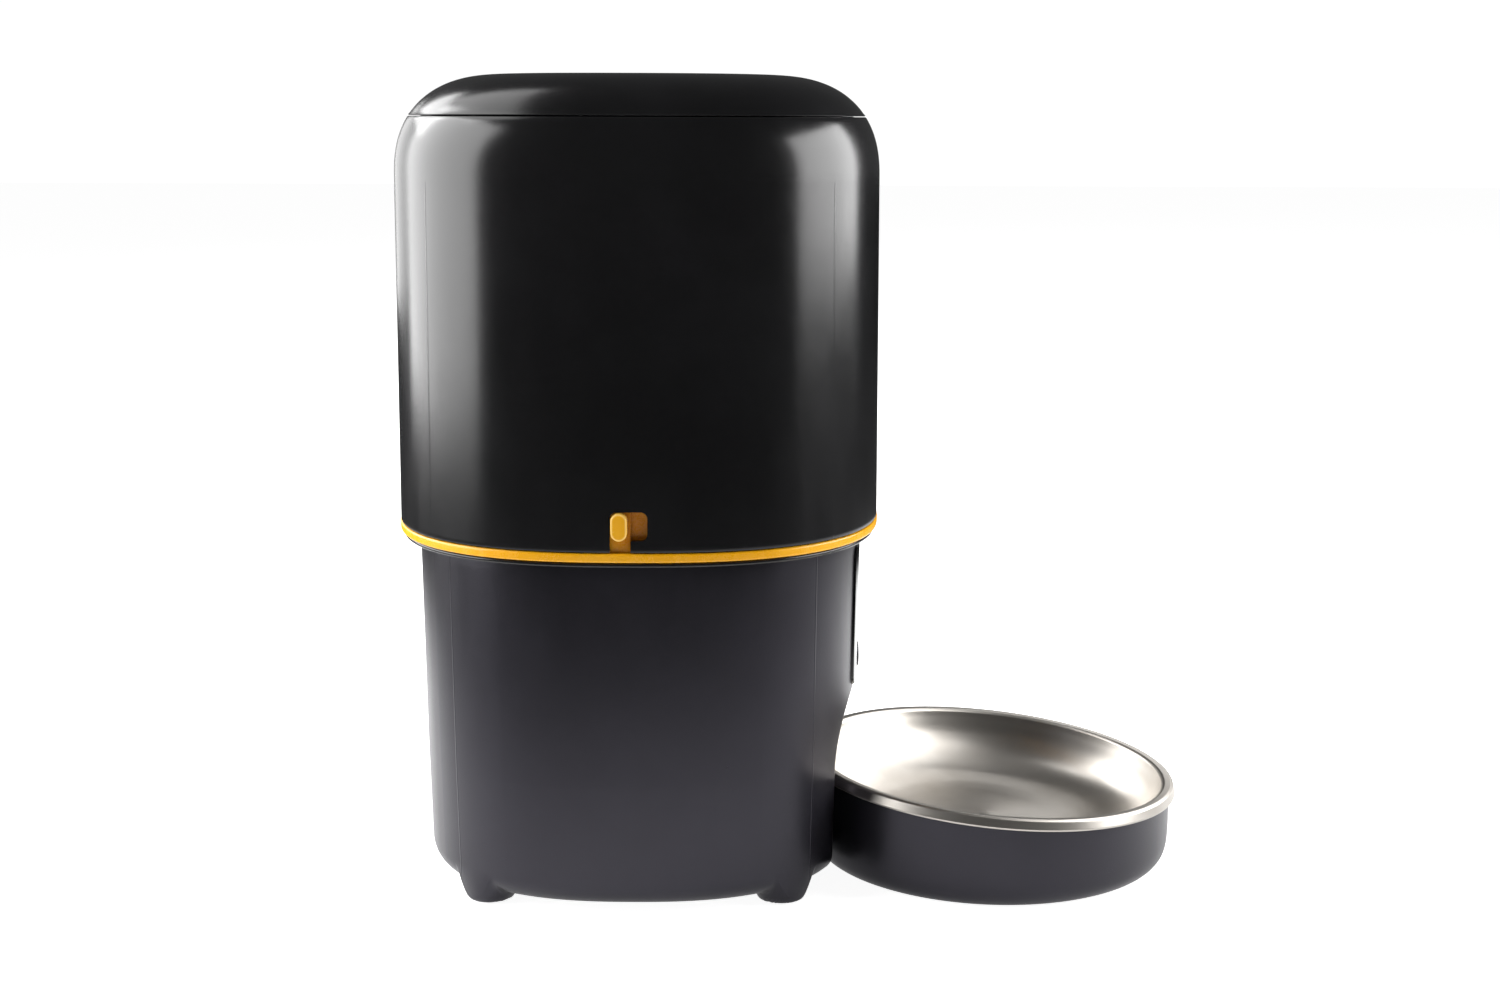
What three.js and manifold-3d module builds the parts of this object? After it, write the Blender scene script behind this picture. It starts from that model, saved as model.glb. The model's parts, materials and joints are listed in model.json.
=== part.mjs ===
// Automatic pet feeder: a lift-off food tank over a dispenser tray, a powered base and a steel bowl.
// Millimetres, +Z up, +X towards the bowl. The tank's axis is x = 0 until the whole is centred at the end.

import * as THREE from "three";
import { mergeVertices } from "three/addons/utils/BufferGeometryUtils.js";
import Module from "manifold-3d";

const wasm = await Module();
wasm.setup();

// ---- driving dimensions

const gap = 0.3; // between pieces that touch
const looseGap = 0.6; // between pieces that lift apart
const planPower = 2.5; // squareness of the plan: 2 is a circle
const planSides = 32;

const tankHalf = 90; // half width of the tank at its foot
const tankNeck = tankHalf - 0.7; // half width where the shoulder starts
const tankWall = 2.4;
const skirtWall = 1.8;
const skirtRise = 24; // the thin skirt at the tank's foot
const shoulderWide = 40;
const shoulderTall = 37;
const shoulderPower = 2.4;
const lidWall = 2.2;
const mouthHalf = tankHalf - 14; // filling mouth under the lid

const deckTop = 133.3;
const shoulderStart = deckTop + 129;
const seamHeight = shoulderStart + 22.2; // where the lid meets the tank
const deckThick = 3;
const lipHalf = tankHalf - 1;
const lipThick = 1.7;

const ringTall = 3.2;
const trayWall = 1.8;
const trayFloor = 2.6;
const rotorTall = 18;
const trayWallTop = deckTop + rotorTall + 5.7;
const coverTop = trayWallTop + 2;
const wellRadius = 51.5;
const wellWall = 2;

const slotLeft = -6.3;
const slotMiddle = 0.75;
const slotRight = 6.6;
const slotTop = deckTop + 18;
const slotFloor = deckTop + 8;
const slotCorner = 2.2;
const knobWide = 5.4;
const knobLeft = -5.4;
const knobProud = 1.6;
const latchPlate = 1.2;
const latchGap = 0.5; // between the latch plate and the skirt it slides behind

const baseTopHalf = tankHalf - 7;
const baseMidHalf = baseTopHalf - 1;
const baseMid = 50;
const baseLowHalf = baseTopHalf - 1.9;
const baseWall = 2.4;
const baseBottom = 5;
const bottomOpening = baseLowHalf - 18.8;
const footX = baseLowHalf - 27.5;
const footY = baseLowHalf - 24.5;
const footRadius = 9.2;
const padRadius = 6.3;
const padThick = 1.6;
const padProud = 0.8;

const bowlRim = 72.8;
const bowlRimHeight = 35;
const bowlTilt = THREE.MathUtils.degToRad(4.4);
const bowlDepth = 23.6;
const bowlWall = 0.9;
const holderRadius = bowlRim - 2.6;
const bowlGapUnderRim = 0.3;
const holderWall = 1.7;
const recessRadius = bowlRim + 3.7;
const recessWall = 2.2;
const recessShoulder = bowlRimHeight + 11;
const recessTop = recessShoulder + 26;
const bowlX = baseTopHalf - 23.5 + recessRadius;

const rotorVanes = 6;
const rotorRadius = 49.5;
const hubRadius = 13;
const shaftRadius = 4;
const gearModule = 1;
const gearTeeth = 34;
const pinionTeeth = 12;
const gearThick = 8;
const toothRoot = 0.5; // share of the tooth pitch filled at the root
const toothTip = 0.16;
const caseWall = 1.8;
const caseFloorTop = deckTop - 23.7;
const shaftTop = deckTop + 17.2;
const motorRadius = 12;

const outlet = { near: 25.9, far: 46, half: 21 };
const spoutWall = 1.4;
const chuteWall = 1.8;
const chuteFoot = {
  near: bowlX - recessRadius - 2.5,
  far: bowlX - recessRadius + 23.5,
  height: recessShoulder + 4,
};

const panelHalf = 28;
const panelHigh = deckTop - 7.3;
const panelLow = panelHigh - 53;
const panelProud = 0.9;
const panelSeat = 0.6;
const buttonHeight = panelLow + 5.5;
const buttonRadius = 5;
const buttonProud = 1;
const buttonTravel = 0.8;
const lensHeight = panelLow + 21.5;

const bay = { rear: -44, front: 22, half: 46, top: 48, wall: 2 };
const doorThick = 2;
const socketHeight = 44;

// ---- solids, cuts and joins

function toSolid(geometry) {
  const bare = geometry.clone();
  bare.deleteAttribute("normal");
  bare.deleteAttribute("uv");
  const welded = mergeVertices(bare, 1e-4);
  const index = welded.index.array;
  const corners = [];
  for (let i = 0; i < index.length; i += 3) {
    const [a, b, c] = [index[i], index[i + 1], index[i + 2]];
    if (a !== b && b !== c && c !== a) corners.push(a, b, c);
  }
  return new wasm.Manifold(
    new wasm.Mesh({
      numProp: 3,
      vertProperties: new Float32Array(welded.attributes.position.array),
      triVerts: new Uint32Array(corners),
    }),
  );
}

function toGeometry(solid) {
  const mesh = solid.getMesh();
  const geometry = new THREE.BufferGeometry();
  geometry.setAttribute("position", new THREE.BufferAttribute(mesh.vertProperties, 3));
  geometry.setIndex(new THREE.BufferAttribute(mesh.triVerts, 1));
  return geometry;
}

function cut(geometry, ...tools) {
  return toGeometry(tools.reduce((solid, tool) => solid.subtract(toSolid(tool)), toSolid(geometry)));
}

function join(geometry, ...others) {
  return toGeometry(others.reduce((solid, other) => solid.add(toSolid(other)), toSolid(geometry)));
}

function common(geometry, other) {
  return toGeometry(toSolid(geometry).intersect(toSolid(other)));
}

// ---- simple shapes

// A turned piece about the z axis: outline points [radius, z], anticlockwise.
function turned(outline, sides = 24) {
  const points = outline.map(([radius, z]) => new THREE.Vector2(radius, z));
  return new THREE.LatheGeometry(points, sides).rotateX(Math.PI / 2);
}

// As turned, with each circle squared off to the feeder's plan. A point's third number is its squareness.
function squared(outline, power = planPower) {
  const geometry = turned(outline, planSides);
  const place = geometry.attributes.position;
  for (let i = 0; i < place.count; i += 1) {
    const p = outline[i % outline.length][2] ?? power;
    const angle = Math.atan2(place.getY(i), place.getX(i));
    const spread = (Math.abs(Math.cos(angle)) ** p + Math.abs(Math.sin(angle)) ** p) ** (-1 / p);
    place.setXY(i, place.getX(i) * spread, place.getY(i) * spread);
  }
  return geometry;
}

function ring(inner, outer, low, high, sides = 24) {
  const outline = [[inner, low], [outer, low], [outer, high], [inner, high], [inner, low]];
  return turned(outline, sides);
}

function disc(radius, low, high, sides = 24) {
  return turned([[0, low], [radius, low], [radius, high], [0, high]], sides);
}

function block(x0, x1, y0, y1, z0, z1) {
  const geometry = new THREE.BoxGeometry(x1 - x0, y1 - y0, z1 - z0);
  return geometry.translate((x0 + x1) / 2, (y0 + y1) / 2, (z0 + z1) / 2);
}

function prism(shape, low, high) {
  const options = { depth: high - low, bevelEnabled: false, curveSegments: 4 };
  return new THREE.ExtrudeGeometry(shape, options).translate(0, 0, low);
}

// Stands a prism's outline up so that it faces +X, with the outline's x along Y.
function facingFront(geometry) {
  const x = new THREE.Vector3(0, 1, 0);
  const y = new THREE.Vector3(0, 0, 1);
  const z = new THREE.Vector3(1, 0, 0);
  return geometry.applyMatrix4(new THREE.Matrix4().makeBasis(x, y, z));
}

// Lays a turned piece along +X, with its own z along X.
function alongX(geometry) {
  return geometry.rotateY(Math.PI / 2);
}

function roundedRectangle(x0, x1, y0, y1, r) {
  const shape = new THREE.Shape();
  shape.moveTo(x0 + r, y0);
  shape.absarc(x1 - r, y0 + r, r, -Math.PI / 2, 0);
  shape.absarc(x1 - r, y1 - r, r, 0, Math.PI / 2);
  shape.absarc(x0 + r, y1 - r, r, Math.PI / 2, Math.PI);
  shape.absarc(x0 + r, y0 + r, r, Math.PI, Math.PI * 1.5);
  return shape;
}

// A straight-sided duct or block between a rectangle at the foot and one at the head.
function tapered(foot, head) {
  const geometry = block(0, 1, -1, 1, 0, 1);
  const place = geometry.attributes.position;
  for (let i = 0; i < place.count; i += 1) {
    const end = place.getZ(i) > 0.5 ? head : foot;
    const x = place.getX(i) > 0.5 ? end.far : end.near;
    place.setXYZ(i, x, place.getY(i) * end.half, end.height);
  }
  return geometry;
}

// ---- outlines shared by more than one piece

// Half width of the tank's shoulder at a height, moved in by a wall.
function shoulder(height, wall = 0) {
  const rise = Math.min(1, Math.max(0, (height - shoulderStart) / (shoulderTall - wall)));
  const run = (1 - rise ** shoulderPower) ** (1 / shoulderPower);
  return tankNeck - shoulderWide + (shoulderWide - wall) * run;
}

const tankFoot = deckTop + gap + ringTall + gap;

function tankSide(height, wall = 0) {
  if (height > shoulderStart) return shoulder(height, wall);
  const share = (height - tankFoot) / (shoulderStart - tankFoot);
  return THREE.MathUtils.lerp(tankHalf, tankNeck, Math.max(0, share)) - wall;
}

function baseSide(height) {
  if (height >= baseMid) {
    const share = (height - baseMid) / (deckTop - lipThick - baseMid);
    return THREE.MathUtils.lerp(baseMidHalf, baseTopHalf, share);
  }
  const low = baseBottom + 8;
  return THREE.MathUtils.lerp(baseLowHalf, baseMidHalf, Math.max(0, (height - low) / (baseMid - low)));
}

// Points of the base's round bottom edge, from the flat underside up to the wall.
function bottomEdge(inset, steps) {
  const radius = 8 - inset / 2;
  const points = [];
  for (let step = 0; step <= steps; step += 1) {
    const angle = (step / steps) * (Math.PI / 2);
    const half = baseLowHalf - inset - radius + radius * Math.sin(angle);
    points.push([half, baseBottom + inset + radius - radius * Math.cos(angle)]);
  }
  return points;
}

// The arched hollow in the base's front that the bowl stands in, grown by a wall and a gap.
function recessTool(grow = 0) {
  const outline = [[0, -5], [recessRadius + grow, -5], [recessRadius + grow, recessShoulder]];
  const steps = 5;
  for (let step = 1; step <= steps; step += 1) {
    const angle = (step / steps) * (Math.PI / 2);
    const radius = recessRadius - 24 + 24 * Math.cos(angle) ** 0.9;
    const height = recessShoulder + (recessTop - recessShoulder) * Math.sin(angle) ** 1.25;
    outline.push([radius + grow, height + grow * Math.sin(angle)]);
  }
  outline.push([0, recessTop + grow + 2]);
  return turned(outline, 40).translate(bowlX, 0, 0);
}

function chuteBlock(inset, extra = 0) {
  const head = {
    near: outlet.near - spoutWall - 2.7 + inset,
    far: outlet.far + spoutWall + 3 - inset,
    half: outlet.half + spoutWall + 2.8 - inset,
    height: deckTop - deckThick - 0.4,
  };
  const foot = {
    near: chuteFoot.near + inset,
    far: chuteFoot.far - inset,
    half: head.half,
    height: chuteFoot.height,
  };
  const fall = head.height - foot.height;
  const grown = (value, share) => ({
    near: THREE.MathUtils.lerp(foot.near, head.near, share),
    far: THREE.MathUtils.lerp(foot.far, head.far, share),
    half: head.half,
    height: value,
  });
  const low = grown(foot.height - extra, -extra / fall);
  const high = grown(head.height + extra, 1 + extra / fall);
  return tapered(low, high);
}

// ---- the lid

function lidShell() {
  const foot = seamHeight + gap / 2;
  const top = shoulderStart + shoulderTall;
  const heights = [foot, top - 10.8, top - 5.8, top - 2.1];
  const outer = heights.map((z) => [shoulder(z), z]);
  const inner = [top - 4.3, top - 9.3, foot].map((z) => [shoulder(z, lidWall), z]);
  const crown = [[tankNeck - shoulderWide, top - 0.2], [0, top]];
  const ceiling = [[0, top - lidWall], [tankNeck - shoulderWide, top - lidWall - 0.2]];
  return squared([...outer, ...crown, ...ceiling, ...inner, outer[0]]);
}

function lidPlug() {
  const plate = { low: seamHeight + 0.4, high: seamHeight + 2.4, half: mouthHalf + 1.8 };
  const plug = { outer: mouthHalf - looseGap, inner: mouthHalf - 3.4, low: seamHeight - 7.5 };
  return squared([
    [0, plate.low],
    [plug.inner, plate.low],
    [plug.inner, plug.low],
    [plug.outer, plug.low],
    [plug.outer, plate.low],
    [plate.half, plate.low],
    [plate.half, plate.high],
    [0, plate.high],
  ]);
}

function lidSeal() {
  const inner = mouthHalf + gap;
  const outer = mouthHalf + 3.8;
  const low = seamHeight - 2;
  const high = seamHeight + 0.1;
  return squared([[inner, low], [outer, low], [outer, high], [inner, high], [inner, low]]);
}

const dryBox = { radius: 26, low: seamHeight - 16.5, wall: 1.6 };

function dryBoxShell() {
  const { radius, low, wall } = dryBox;
  const high = seamHeight + 0.1;
  return turned([
    [radius - wall, low],
    [radius, low],
    [radius, high],
    [0, high],
    [0, high - wall],
    [radius - wall, high - wall],
    [radius - wall, low],
  ]);
}

// A slotted cap that twists off the box to change the drying bag.
function dryCap() {
  const high = dryBox.low - gap;
  const shape = new THREE.Shape().absarc(0, 0, dryBox.radius + 1, 0, Math.PI * 2);
  for (let i = 0; i < 8; i += 1) {
    const angle = (i / 8) * Math.PI * 2;
    const corners = [[9, -1.2], [20, -1.2], [20, 1.2], [9, 1.2]].map(([x, y]) => {
      return new THREE.Vector2(x, y).rotateAround(new THREE.Vector2(), angle);
    });
    shape.holes.push(new THREE.Path(corners));
  }
  const options = { depth: 3, bevelEnabled: false, curveSegments: 24 };
  const plate = new THREE.ExtrudeGeometry(shape, options).translate(0, 0, high - 3);
  const grip = block(-12, 12, -1.5, 1.5, high - 7, high - 2.5);
  return join(cut(plate, disc(8, high - 4, high - 3.1)), grip);
}

// ---- the tank

function latchSlot() {
  const shape = new THREE.Shape();
  const foot = tankFoot - 5;
  const inner = 0.8;
  shape.moveTo(slotLeft, foot);
  shape.lineTo(slotMiddle, foot);
  shape.lineTo(slotMiddle, slotFloor - inner);
  shape.absarc(slotMiddle + inner, slotFloor - inner, inner, Math.PI, Math.PI / 2, true);
  shape.absarc(slotRight - slotCorner, slotFloor + slotCorner, slotCorner, -Math.PI / 2, 0);
  shape.absarc(slotRight - slotCorner, slotTop - slotCorner, slotCorner, 0, Math.PI / 2);
  shape.absarc(slotLeft + slotCorner, slotTop - slotCorner, slotCorner, Math.PI / 2, Math.PI);
  return prism(shape, 0, 20).rotateX(Math.PI / 2).translate(0, 10 - tankHalf, 0);
}

function tankShell() {
  const skirtTop = tankFoot + skirtRise;
  const high = seamHeight - gap / 2;
  const ledge = { half: mouthHalf + 4.2, top: seamHeight - 2.3, low: seamHeight - 4.9 };
  const rises = [-5, 5.7, 12.7, 18.2];
  const sides = [tankFoot, ...rises.map((rise) => shoulderStart + rise), high];
  const outer = sides.map((z) => [tankSide(z), z]);
  const inner = [ledge.low, shoulderStart + 10.7, shoulderStart - 2, skirtTop + 2];
  return cut(
    squared([
      ...outer,
      [ledge.half, high],
      [ledge.half, ledge.top],
      [mouthHalf, ledge.top],
      [mouthHalf, ledge.low],
      ...inner.map((z) => [tankSide(z, tankWall), z]),
      [tankHalf - skirtWall, skirtTop],
      [tankHalf - skirtWall, tankFoot],
      outer[0],
    ]),
    latchSlot(),
  );
}

const funnel = {
  throat: wellRadius - 5,
  wall: 2.2,
  low: coverTop + 0.8,
  rimLow: coverTop + 24,
  rimTop: coverTop + 35,
};

function tankFunnel() {
  const { throat, wall, low, rimLow, rimTop } = funnel;
  const rim = tankSide(rimTop, tankWall) - 0.4;
  return squared([
    [throat, low, 2],
    [throat + wall, low, 2],
    [throat + wall, low + 3.6, 2],
    [rim, rimLow],
    [rim, rimTop],
    [rim - wall, rimTop],
    [rim - wall, rimLow + 2.6],
    [throat + 1, low + 6.4, 2],
    [throat, low + 5, 2],
    [throat, low, 2],
  ]);
}

// ---- the dispenser

const trayLow = deckTop + gap;
const trayTop = trayLow + ringTall;
const trayOuter = tankHalf - skirtWall - latchGap - latchPlate - gap;
const wellFloor = trayLow + trayFloor;
const wellTop = trayWallTop - gap;

function dispenserTray() {
  const bevel = 0.6;
  const edge = tankHalf + 0.2;
  const dish = squared([
    [0, trayLow],
    [edge - bevel, trayLow],
    [edge, trayLow + bevel],
    [edge, trayTop - bevel],
    [edge - bevel, trayTop],
    [trayOuter, trayTop],
    [trayOuter, trayWallTop],
    [trayOuter - trayWall, trayWallTop],
    [trayOuter - trayWall, wellFloor],
    [0, wellFloor],
  ]);
  const well = ring(wellRadius, wellRadius + wellWall, wellFloor - 1, wellTop, 36);
  const spoutLow = deckTop - deckThick + 0.5;
  const { near, far, half } = outlet;
  const w = spoutWall;
  const spout = block(near - w, far + w, -half - w, half + w, spoutLow, trayLow + 1);
  const mouth = block(near, far, -half, half, spoutLow - 1, wellFloor + 1);
  const shaftHole = disc(shaftRadius + 2, trayLow - 1, wellFloor + 1);
  const groove = block(
    knobLeft - 2.6,
    slotMiddle + slotRight + 1,
    -(tankHalf - skirtWall),
    -(trayOuter + 0.02),
    trayTop - 2,
    trayTop + 1,
  );
  return cut(join(dish, well, spout), mouth, shaftHole, groove);
}

// Covers the pockets over the outlet, so that food drops in only at the rear.
function rotorCover() {
  const low = wellTop + gap;
  const rim = ring(wellRadius - 5, wellRadius + wellWall, low, coverTop, 36);
  const inner = 16;
  const spread = Math.PI / 3;
  const sector = new THREE.Shape();
  sector.absarc(0, 0, wellRadius - 2, -spread, spread);
  sector.absarc(0, 0, inner, spread, -spread, true);
  return join(rim, prism(sector, low, coverTop));
}

function rotor() {
  const low = wellFloor + 0.7;
  const high = low + rotorTall;
  const postTop = high + 11;
  const vanes = [];
  for (let i = 0; i < rotorVanes; i += 1) {
    const vane = block(hubRadius - 3, rotorRadius, -1.1, 1.1, low, high);
    vanes.push(vane.rotateZ(((i + 0.5) / rotorVanes) * Math.PI * 2));
  }
  const hub = turned([
    [0, low],
    [hubRadius, low],
    [hubRadius, high],
    [8, high + 1.8],
    [8, postTop],
    [0, postTop],
  ]);
  const socket = disc(shaftRadius + 0.45, low - 1, shaftTop + 0.6, 6);
  return cut(join(hub, ...vanes), socket);
}

// A soft stirrer pushed on the rotor's post, which keeps the food from bridging in the throat.
function agitator() {
  const low = wellFloor + rotorTall + 0.7 + 2.4;
  const high = low + 14;
  const cap = turned([
    [8 + gap, low],
    [11, low],
    [11, high - 3],
    [7, high],
    [0, high],
    [0, high - 3.4],
    [8 + gap, high - 3.4],
    [8 + gap, low],
  ]);
  const fins = [];
  for (let i = 0; i < 3; i += 1) {
    const fin = block(10, 36, -1.1, 1.1, coverTop + 1.4, coverTop + 7);
    fins.push(fin.rotateZ(((i + 0.5) / 3) * Math.PI * 2));
  }
  return join(cap, ...fins);
}

function latchSlider() {
  const skirtInner = tankHalf - skirtWall;
  const plateOuter = skirtInner - latchGap;
  const plateInner = plateOuter - latchPlate;
  const plate = block(knobLeft - 1.6, slotMiddle, -plateOuter, -plateInner, trayTop - 1.6, slotTop - 0.2);
  const low = slotFloor + 0.4;
  const high = slotTop - 0.4;
  const r = knobWide / 2;
  const pill = new THREE.Shape();
  pill.absarc(knobLeft + r, low + r, r, Math.PI, Math.PI * 2);
  pill.absarc(knobLeft + r, high - r, r, 0, Math.PI);
  const bevel = 0.5;
  const options = {
    depth: tankHalf + knobProud - plateOuter + 0.4 - bevel,
    bevelThickness: bevel,
    bevelSize: bevel,
    bevelOffset: -bevel,
    bevelSegments: 1,
    curveSegments: 6,
  };
  const knob = new THREE.ExtrudeGeometry(pill, options).rotateX(Math.PI / 2);
  return join(plate, knob.translate(0, 0.4 - plateOuter, 0));
}

// ---- the drive

// A gear outline with straight flanks, thinned for running clearance.
function gearShape(teeth, turn = 0) {
  const pitch = (gearModule * teeth) / 2;
  const halfPitch = Math.PI / teeth;
  const rootTooth = halfPitch * toothRoot;
  const tipTooth = halfPitch * toothTip;
  const root = pitch - 1.15 * gearModule;
  const tip = pitch + 0.8 * gearModule;
  const corners = [];
  for (let i = 0; i < teeth; i += 1) {
    const middle = turn + i * 2 * halfPitch;
    const tooth = [[root, -rootTooth], [tip, -tipTooth], [tip, tipTooth], [root, rootTooth]];
    for (const [radius, offset] of tooth) {
      corners.push(new THREE.Vector2(radius, 0).rotateAround(new THREE.Vector2(), middle + offset));
    }
  }
  return new THREE.Shape(corners);
}

const pinionX = -(gearModule * (gearTeeth + pinionTeeth)) / 2;
const gearLow = caseFloorTop + 1.4;
const motorShaftRadius = 2;

function driveGear() {
  const wheel = prism(gearShape(gearTeeth), gearLow, gearLow + gearThick);
  const boss = disc(8, gearLow - 0.9, gearLow + gearThick + 3);
  return cut(join(wheel, boss), disc(shaftRadius + gap, gearLow - 2, gearLow + gearThick + 5));
}

function driveShaft() {
  const round = disc(shaftRadius, caseFloorTop - 2, deckTop + 1);
  const dog = disc(shaftRadius, deckTop, shaftTop, 6);
  return join(round, dog);
}

function pinion() {
  const outline = gearShape(pinionTeeth, Math.PI / pinionTeeth);
  const wheel = prism(outline, gearLow - 0.4, gearLow + gearThick + 0.4);
  return cut(wheel, disc(motorShaftRadius + gap, gearLow - 2, gearLow + gearThick + 2, 16));
}

function motorShaft() {
  return disc(motorShaftRadius, caseFloorTop - 6, gearLow + gearThick + 1.4, 16);
}

function gearCase() {
  const low = caseFloorTop - 2;
  const high = deckTop - deckThick - 0.4;
  const big = (gearModule * gearTeeth) / 2 + 2;
  const small = (gearModule * pinionTeeth) / 2 + 3;
  const around = (grow, z0, z1) => {
    const start = disc(big + grow, z0, z1, 36);
    const end = disc(small + grow, z0, z1).translate(pinionX, 0, 0);
    const bridge = block(pinionX, 0, -small - grow, small + grow, z0, z1);
    return join(start, bridge, end);
  };
  return cut(
    around(caseWall, low, high),
    around(0, caseFloorTop, high + 1),
    disc(shaftRadius + 0.4, low - 1, caseFloorTop + 1),
    disc(motorShaftRadius + 1, low - 1, caseFloorTop + 1).translate(pinionX, 0, 0),
  );
}

const gearHeadLow = caseFloorTop - 2 - gap - 13;

function gearHead() {
  const high = caseFloorTop - 2 - gap;
  const bore = disc(motorShaftRadius + gap, high - 5, high + 1, 16);
  return cut(disc(motorRadius, gearHeadLow, high), bore);
}

function motor() {
  const high = gearHeadLow - gap;
  const low = high - 32;
  const rear = [[0, low - 3], [4, low - 3], [4, low], [11, low]];
  return turned([...rear, [11.8, low + 1], [11.8, high], [0, high]]);
}

function shaftBushing() {
  const inner = shaftRadius + 0.35;
  const low = deckTop - deckThick - 1.5;
  const flange = deckTop - deckThick - gap;
  const high = deckTop - 0.2;
  return turned([[inner, low], [9, low], [9, flange], [7, flange], [7, high], [inner, high], [inner, low]]);
}

// ---- the base

const screwReach = bottomOpening - 8.3;
const frontScrew = bowlX - recessRadius - 17.5;
const screwPlaces = [[1 - screwReach, 0], [frontScrew, 0], [0, screwReach], [0, -screwReach]];
const deckScrewPlace = baseTopHalf - 35.5;
const bossRadius = 4.2;
const screwHead = 3.2;
const screwShank = 1.3;

function cornerPlaces(x, y) {
  return [[x, y], [-x, y], [-x, -y], [x, -y]];
}

function bossWithRib(x, y, reach, low, high) {
  const length = Math.hypot(x, y);
  const boss = disc(bossRadius, low, high, 10).translate(length, 0, 0);
  const rib = block(length, reach, -1, 1, low, high);
  return join(boss, rib).rotateZ(Math.atan2(y, x));
}

function pilotHole(x, y, low, high) {
  return disc(screwShank + gap, low, high, 10).translate(x, y, 0);
}

function foot() {
  const low = padProud;
  const high = baseBottom + 7;
  const edge = [[footRadius - 2.2, low], [footRadius - 0.7, low + 0.6], [footRadius, low + 2.2]];
  return turned([[0, low], ...edge, [footRadius, high], [0, high]], 16);
}

function panelOutline(grow) {
  return roundedRectangle(-panelHalf - grow, panelHalf + grow, panelLow - grow, panelHigh + grow, 4 + grow);
}

// The part of the base's front between two depths from its surface, under the panel's outline.
function frontBand(grow, depth, proud) {
  const heights = [panelLow - 5, panelHigh + 4];
  const outer = heights.map((z) => [baseSide(z) + proud, z]);
  const inner = heights.map((z) => [baseSide(z) - depth, z]).reverse();
  const band = squared([...outer, ...inner, outer[0]]);
  return common(band, facingFront(prism(panelOutline(grow), tankHalf / 2, tankHalf + 30)));
}

const dockTab = { low: 8.2, high: 12, y: 20, half: 5, end: recessRadius + 4.5 };

function dockTabs(grow) {
  return [-1, 1].map((side) => {
    const { low, high, y, half, end } = dockTab;
    const middle = side * y;
    return block(
      bowlX - end - grow,
      bowlX - holderRadius + 4,
      middle - half - grow,
      middle + half + grow,
      low - grow,
      high + grow,
    );
  });
}

const shellTop = deckTop - lipThick - gap;

function baseShell() {
  const heights = [baseMid, shellTop];
  const walls = heights.map((z) => [baseSide(z), z]);
  const innerWalls = [baseMid, shellTop + 5].map((z) => [baseSide(z) - baseWall, z]);
  const whole = squared([[0, baseBottom], ...bottomEdge(0, 3), ...walls, [0, shellTop]]);
  const outside = cut(whole, recessTool());
  const hollow = squared([
    [0, baseBottom + baseWall],
    ...bottomEdge(baseWall, 1),
    ...innerWalls,
    [0, shellTop + 5],
  ]);
  const opening = squared([
    [0, baseBottom - 1],
    [bottomOpening, baseBottom - 1],
    [bottomOpening, baseBottom + baseWall + 0.5],
    [0, baseBottom + baseWall + 0.5],
  ]);
  const cavity = cut(join(hollow, opening), recessTool(recessWall));
  const feet = cornerPlaces(footX, footY).map(([x, y]) => foot().translate(x, y, 0));
  const padSeats = cornerPlaces(footX, footY).map(([x, y]) => {
    const seatTop = padThick + gap;
    return disc(padRadius + gap, -1, seatTop, 16).translate(x, y, 0);
  });
  const lowBosses = screwPlaces.map(([x, y]) => {
    const reach = x > 0 ? bowlX - recessRadius - 1 : baseMidHalf - baseWall + 0.6;
    return bossWithRib(x, y, reach, baseBottom + baseWall + gap, 30);
  });
  const deckLow = deckTop - deckThick - gap;
  const diagonal = baseTopHalf * 2 ** (0.5 - 1 / planPower);
  const deckScrews = cornerPlaces(deckScrewPlace, deckScrewPlace);
  const highBosses = deckScrews.map(([x, y]) => {
    return bossWithRib(x, y, diagonal - baseWall + 0.4, deckLow - 22, deckLow);
  });
  const holes = [
    ...screwPlaces.map(([x, y]) => pilotHole(x, y, baseBottom, 23)),
    ...deckScrews.map(([x, y]) => pilotHole(x, y, deckLow - 16, deckLow + 1)),
  ];
  const socketHole = alongX(disc(4.2, -tankHalf, 10 - baseMidHalf)).translate(0, 0, socketHeight);
  return cut(
    join(cut(outside, cavity), ...feet, ...lowBosses, ...highBosses),
    ...padSeats,
    ...holes,
    chuteBlock(chuteWall, 12),
    frontBand(gap, panelSeat, 3),
    ...dockTabs(0.5),
    ...panelHoles(),
    socketHole,
  );
}

function baseDeck() {
  const low = deckTop - deckThick;
  const plug = baseTopHalf - baseWall - looseGap;
  const { near, far, half } = outlet;
  const room = spoutWall + looseGap;
  const plate = squared([
    [0, low],
    [plug, low],
    [plug, deckTop - lipThick],
    [lipHalf, deckTop - lipThick],
    [lipHalf, deckTop],
    [0, deckTop],
  ]);
  const screwSeats = cornerPlaces(deckScrewPlace, deckScrewPlace).flatMap(([x, y]) => [
    disc(screwHead + 0.4, deckTop - 1.7, deckTop + 1, 16).translate(x, y, 0),
    pilotHole(x, y, low - 1, deckTop + 1),
  ]);
  return cut(
    plate,
    disc(7 + gap, low - 1, deckTop + 1),
    block(near - room, far + room, -half - room, half + room, low - 1, deckTop + 1),
    ...screwSeats,
  );
}

// A countersunk screw whose head is at one height and tip at another, above or below it.
function screw(x, y, headHeight, tipHeight) {
  const length = Math.abs(tipHeight - headHeight);
  const outline = [
    [0, -length],
    [screwShank, 1 - length],
    [screwShank, -1.4],
    [screwHead, -0.7],
    [screwHead, 0],
    [0, 0],
  ];
  const geometry = turned(outline, 10);
  if (tipHeight > headHeight) geometry.rotateX(Math.PI);
  return geometry.translate(x, y, headHeight);
}

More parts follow.
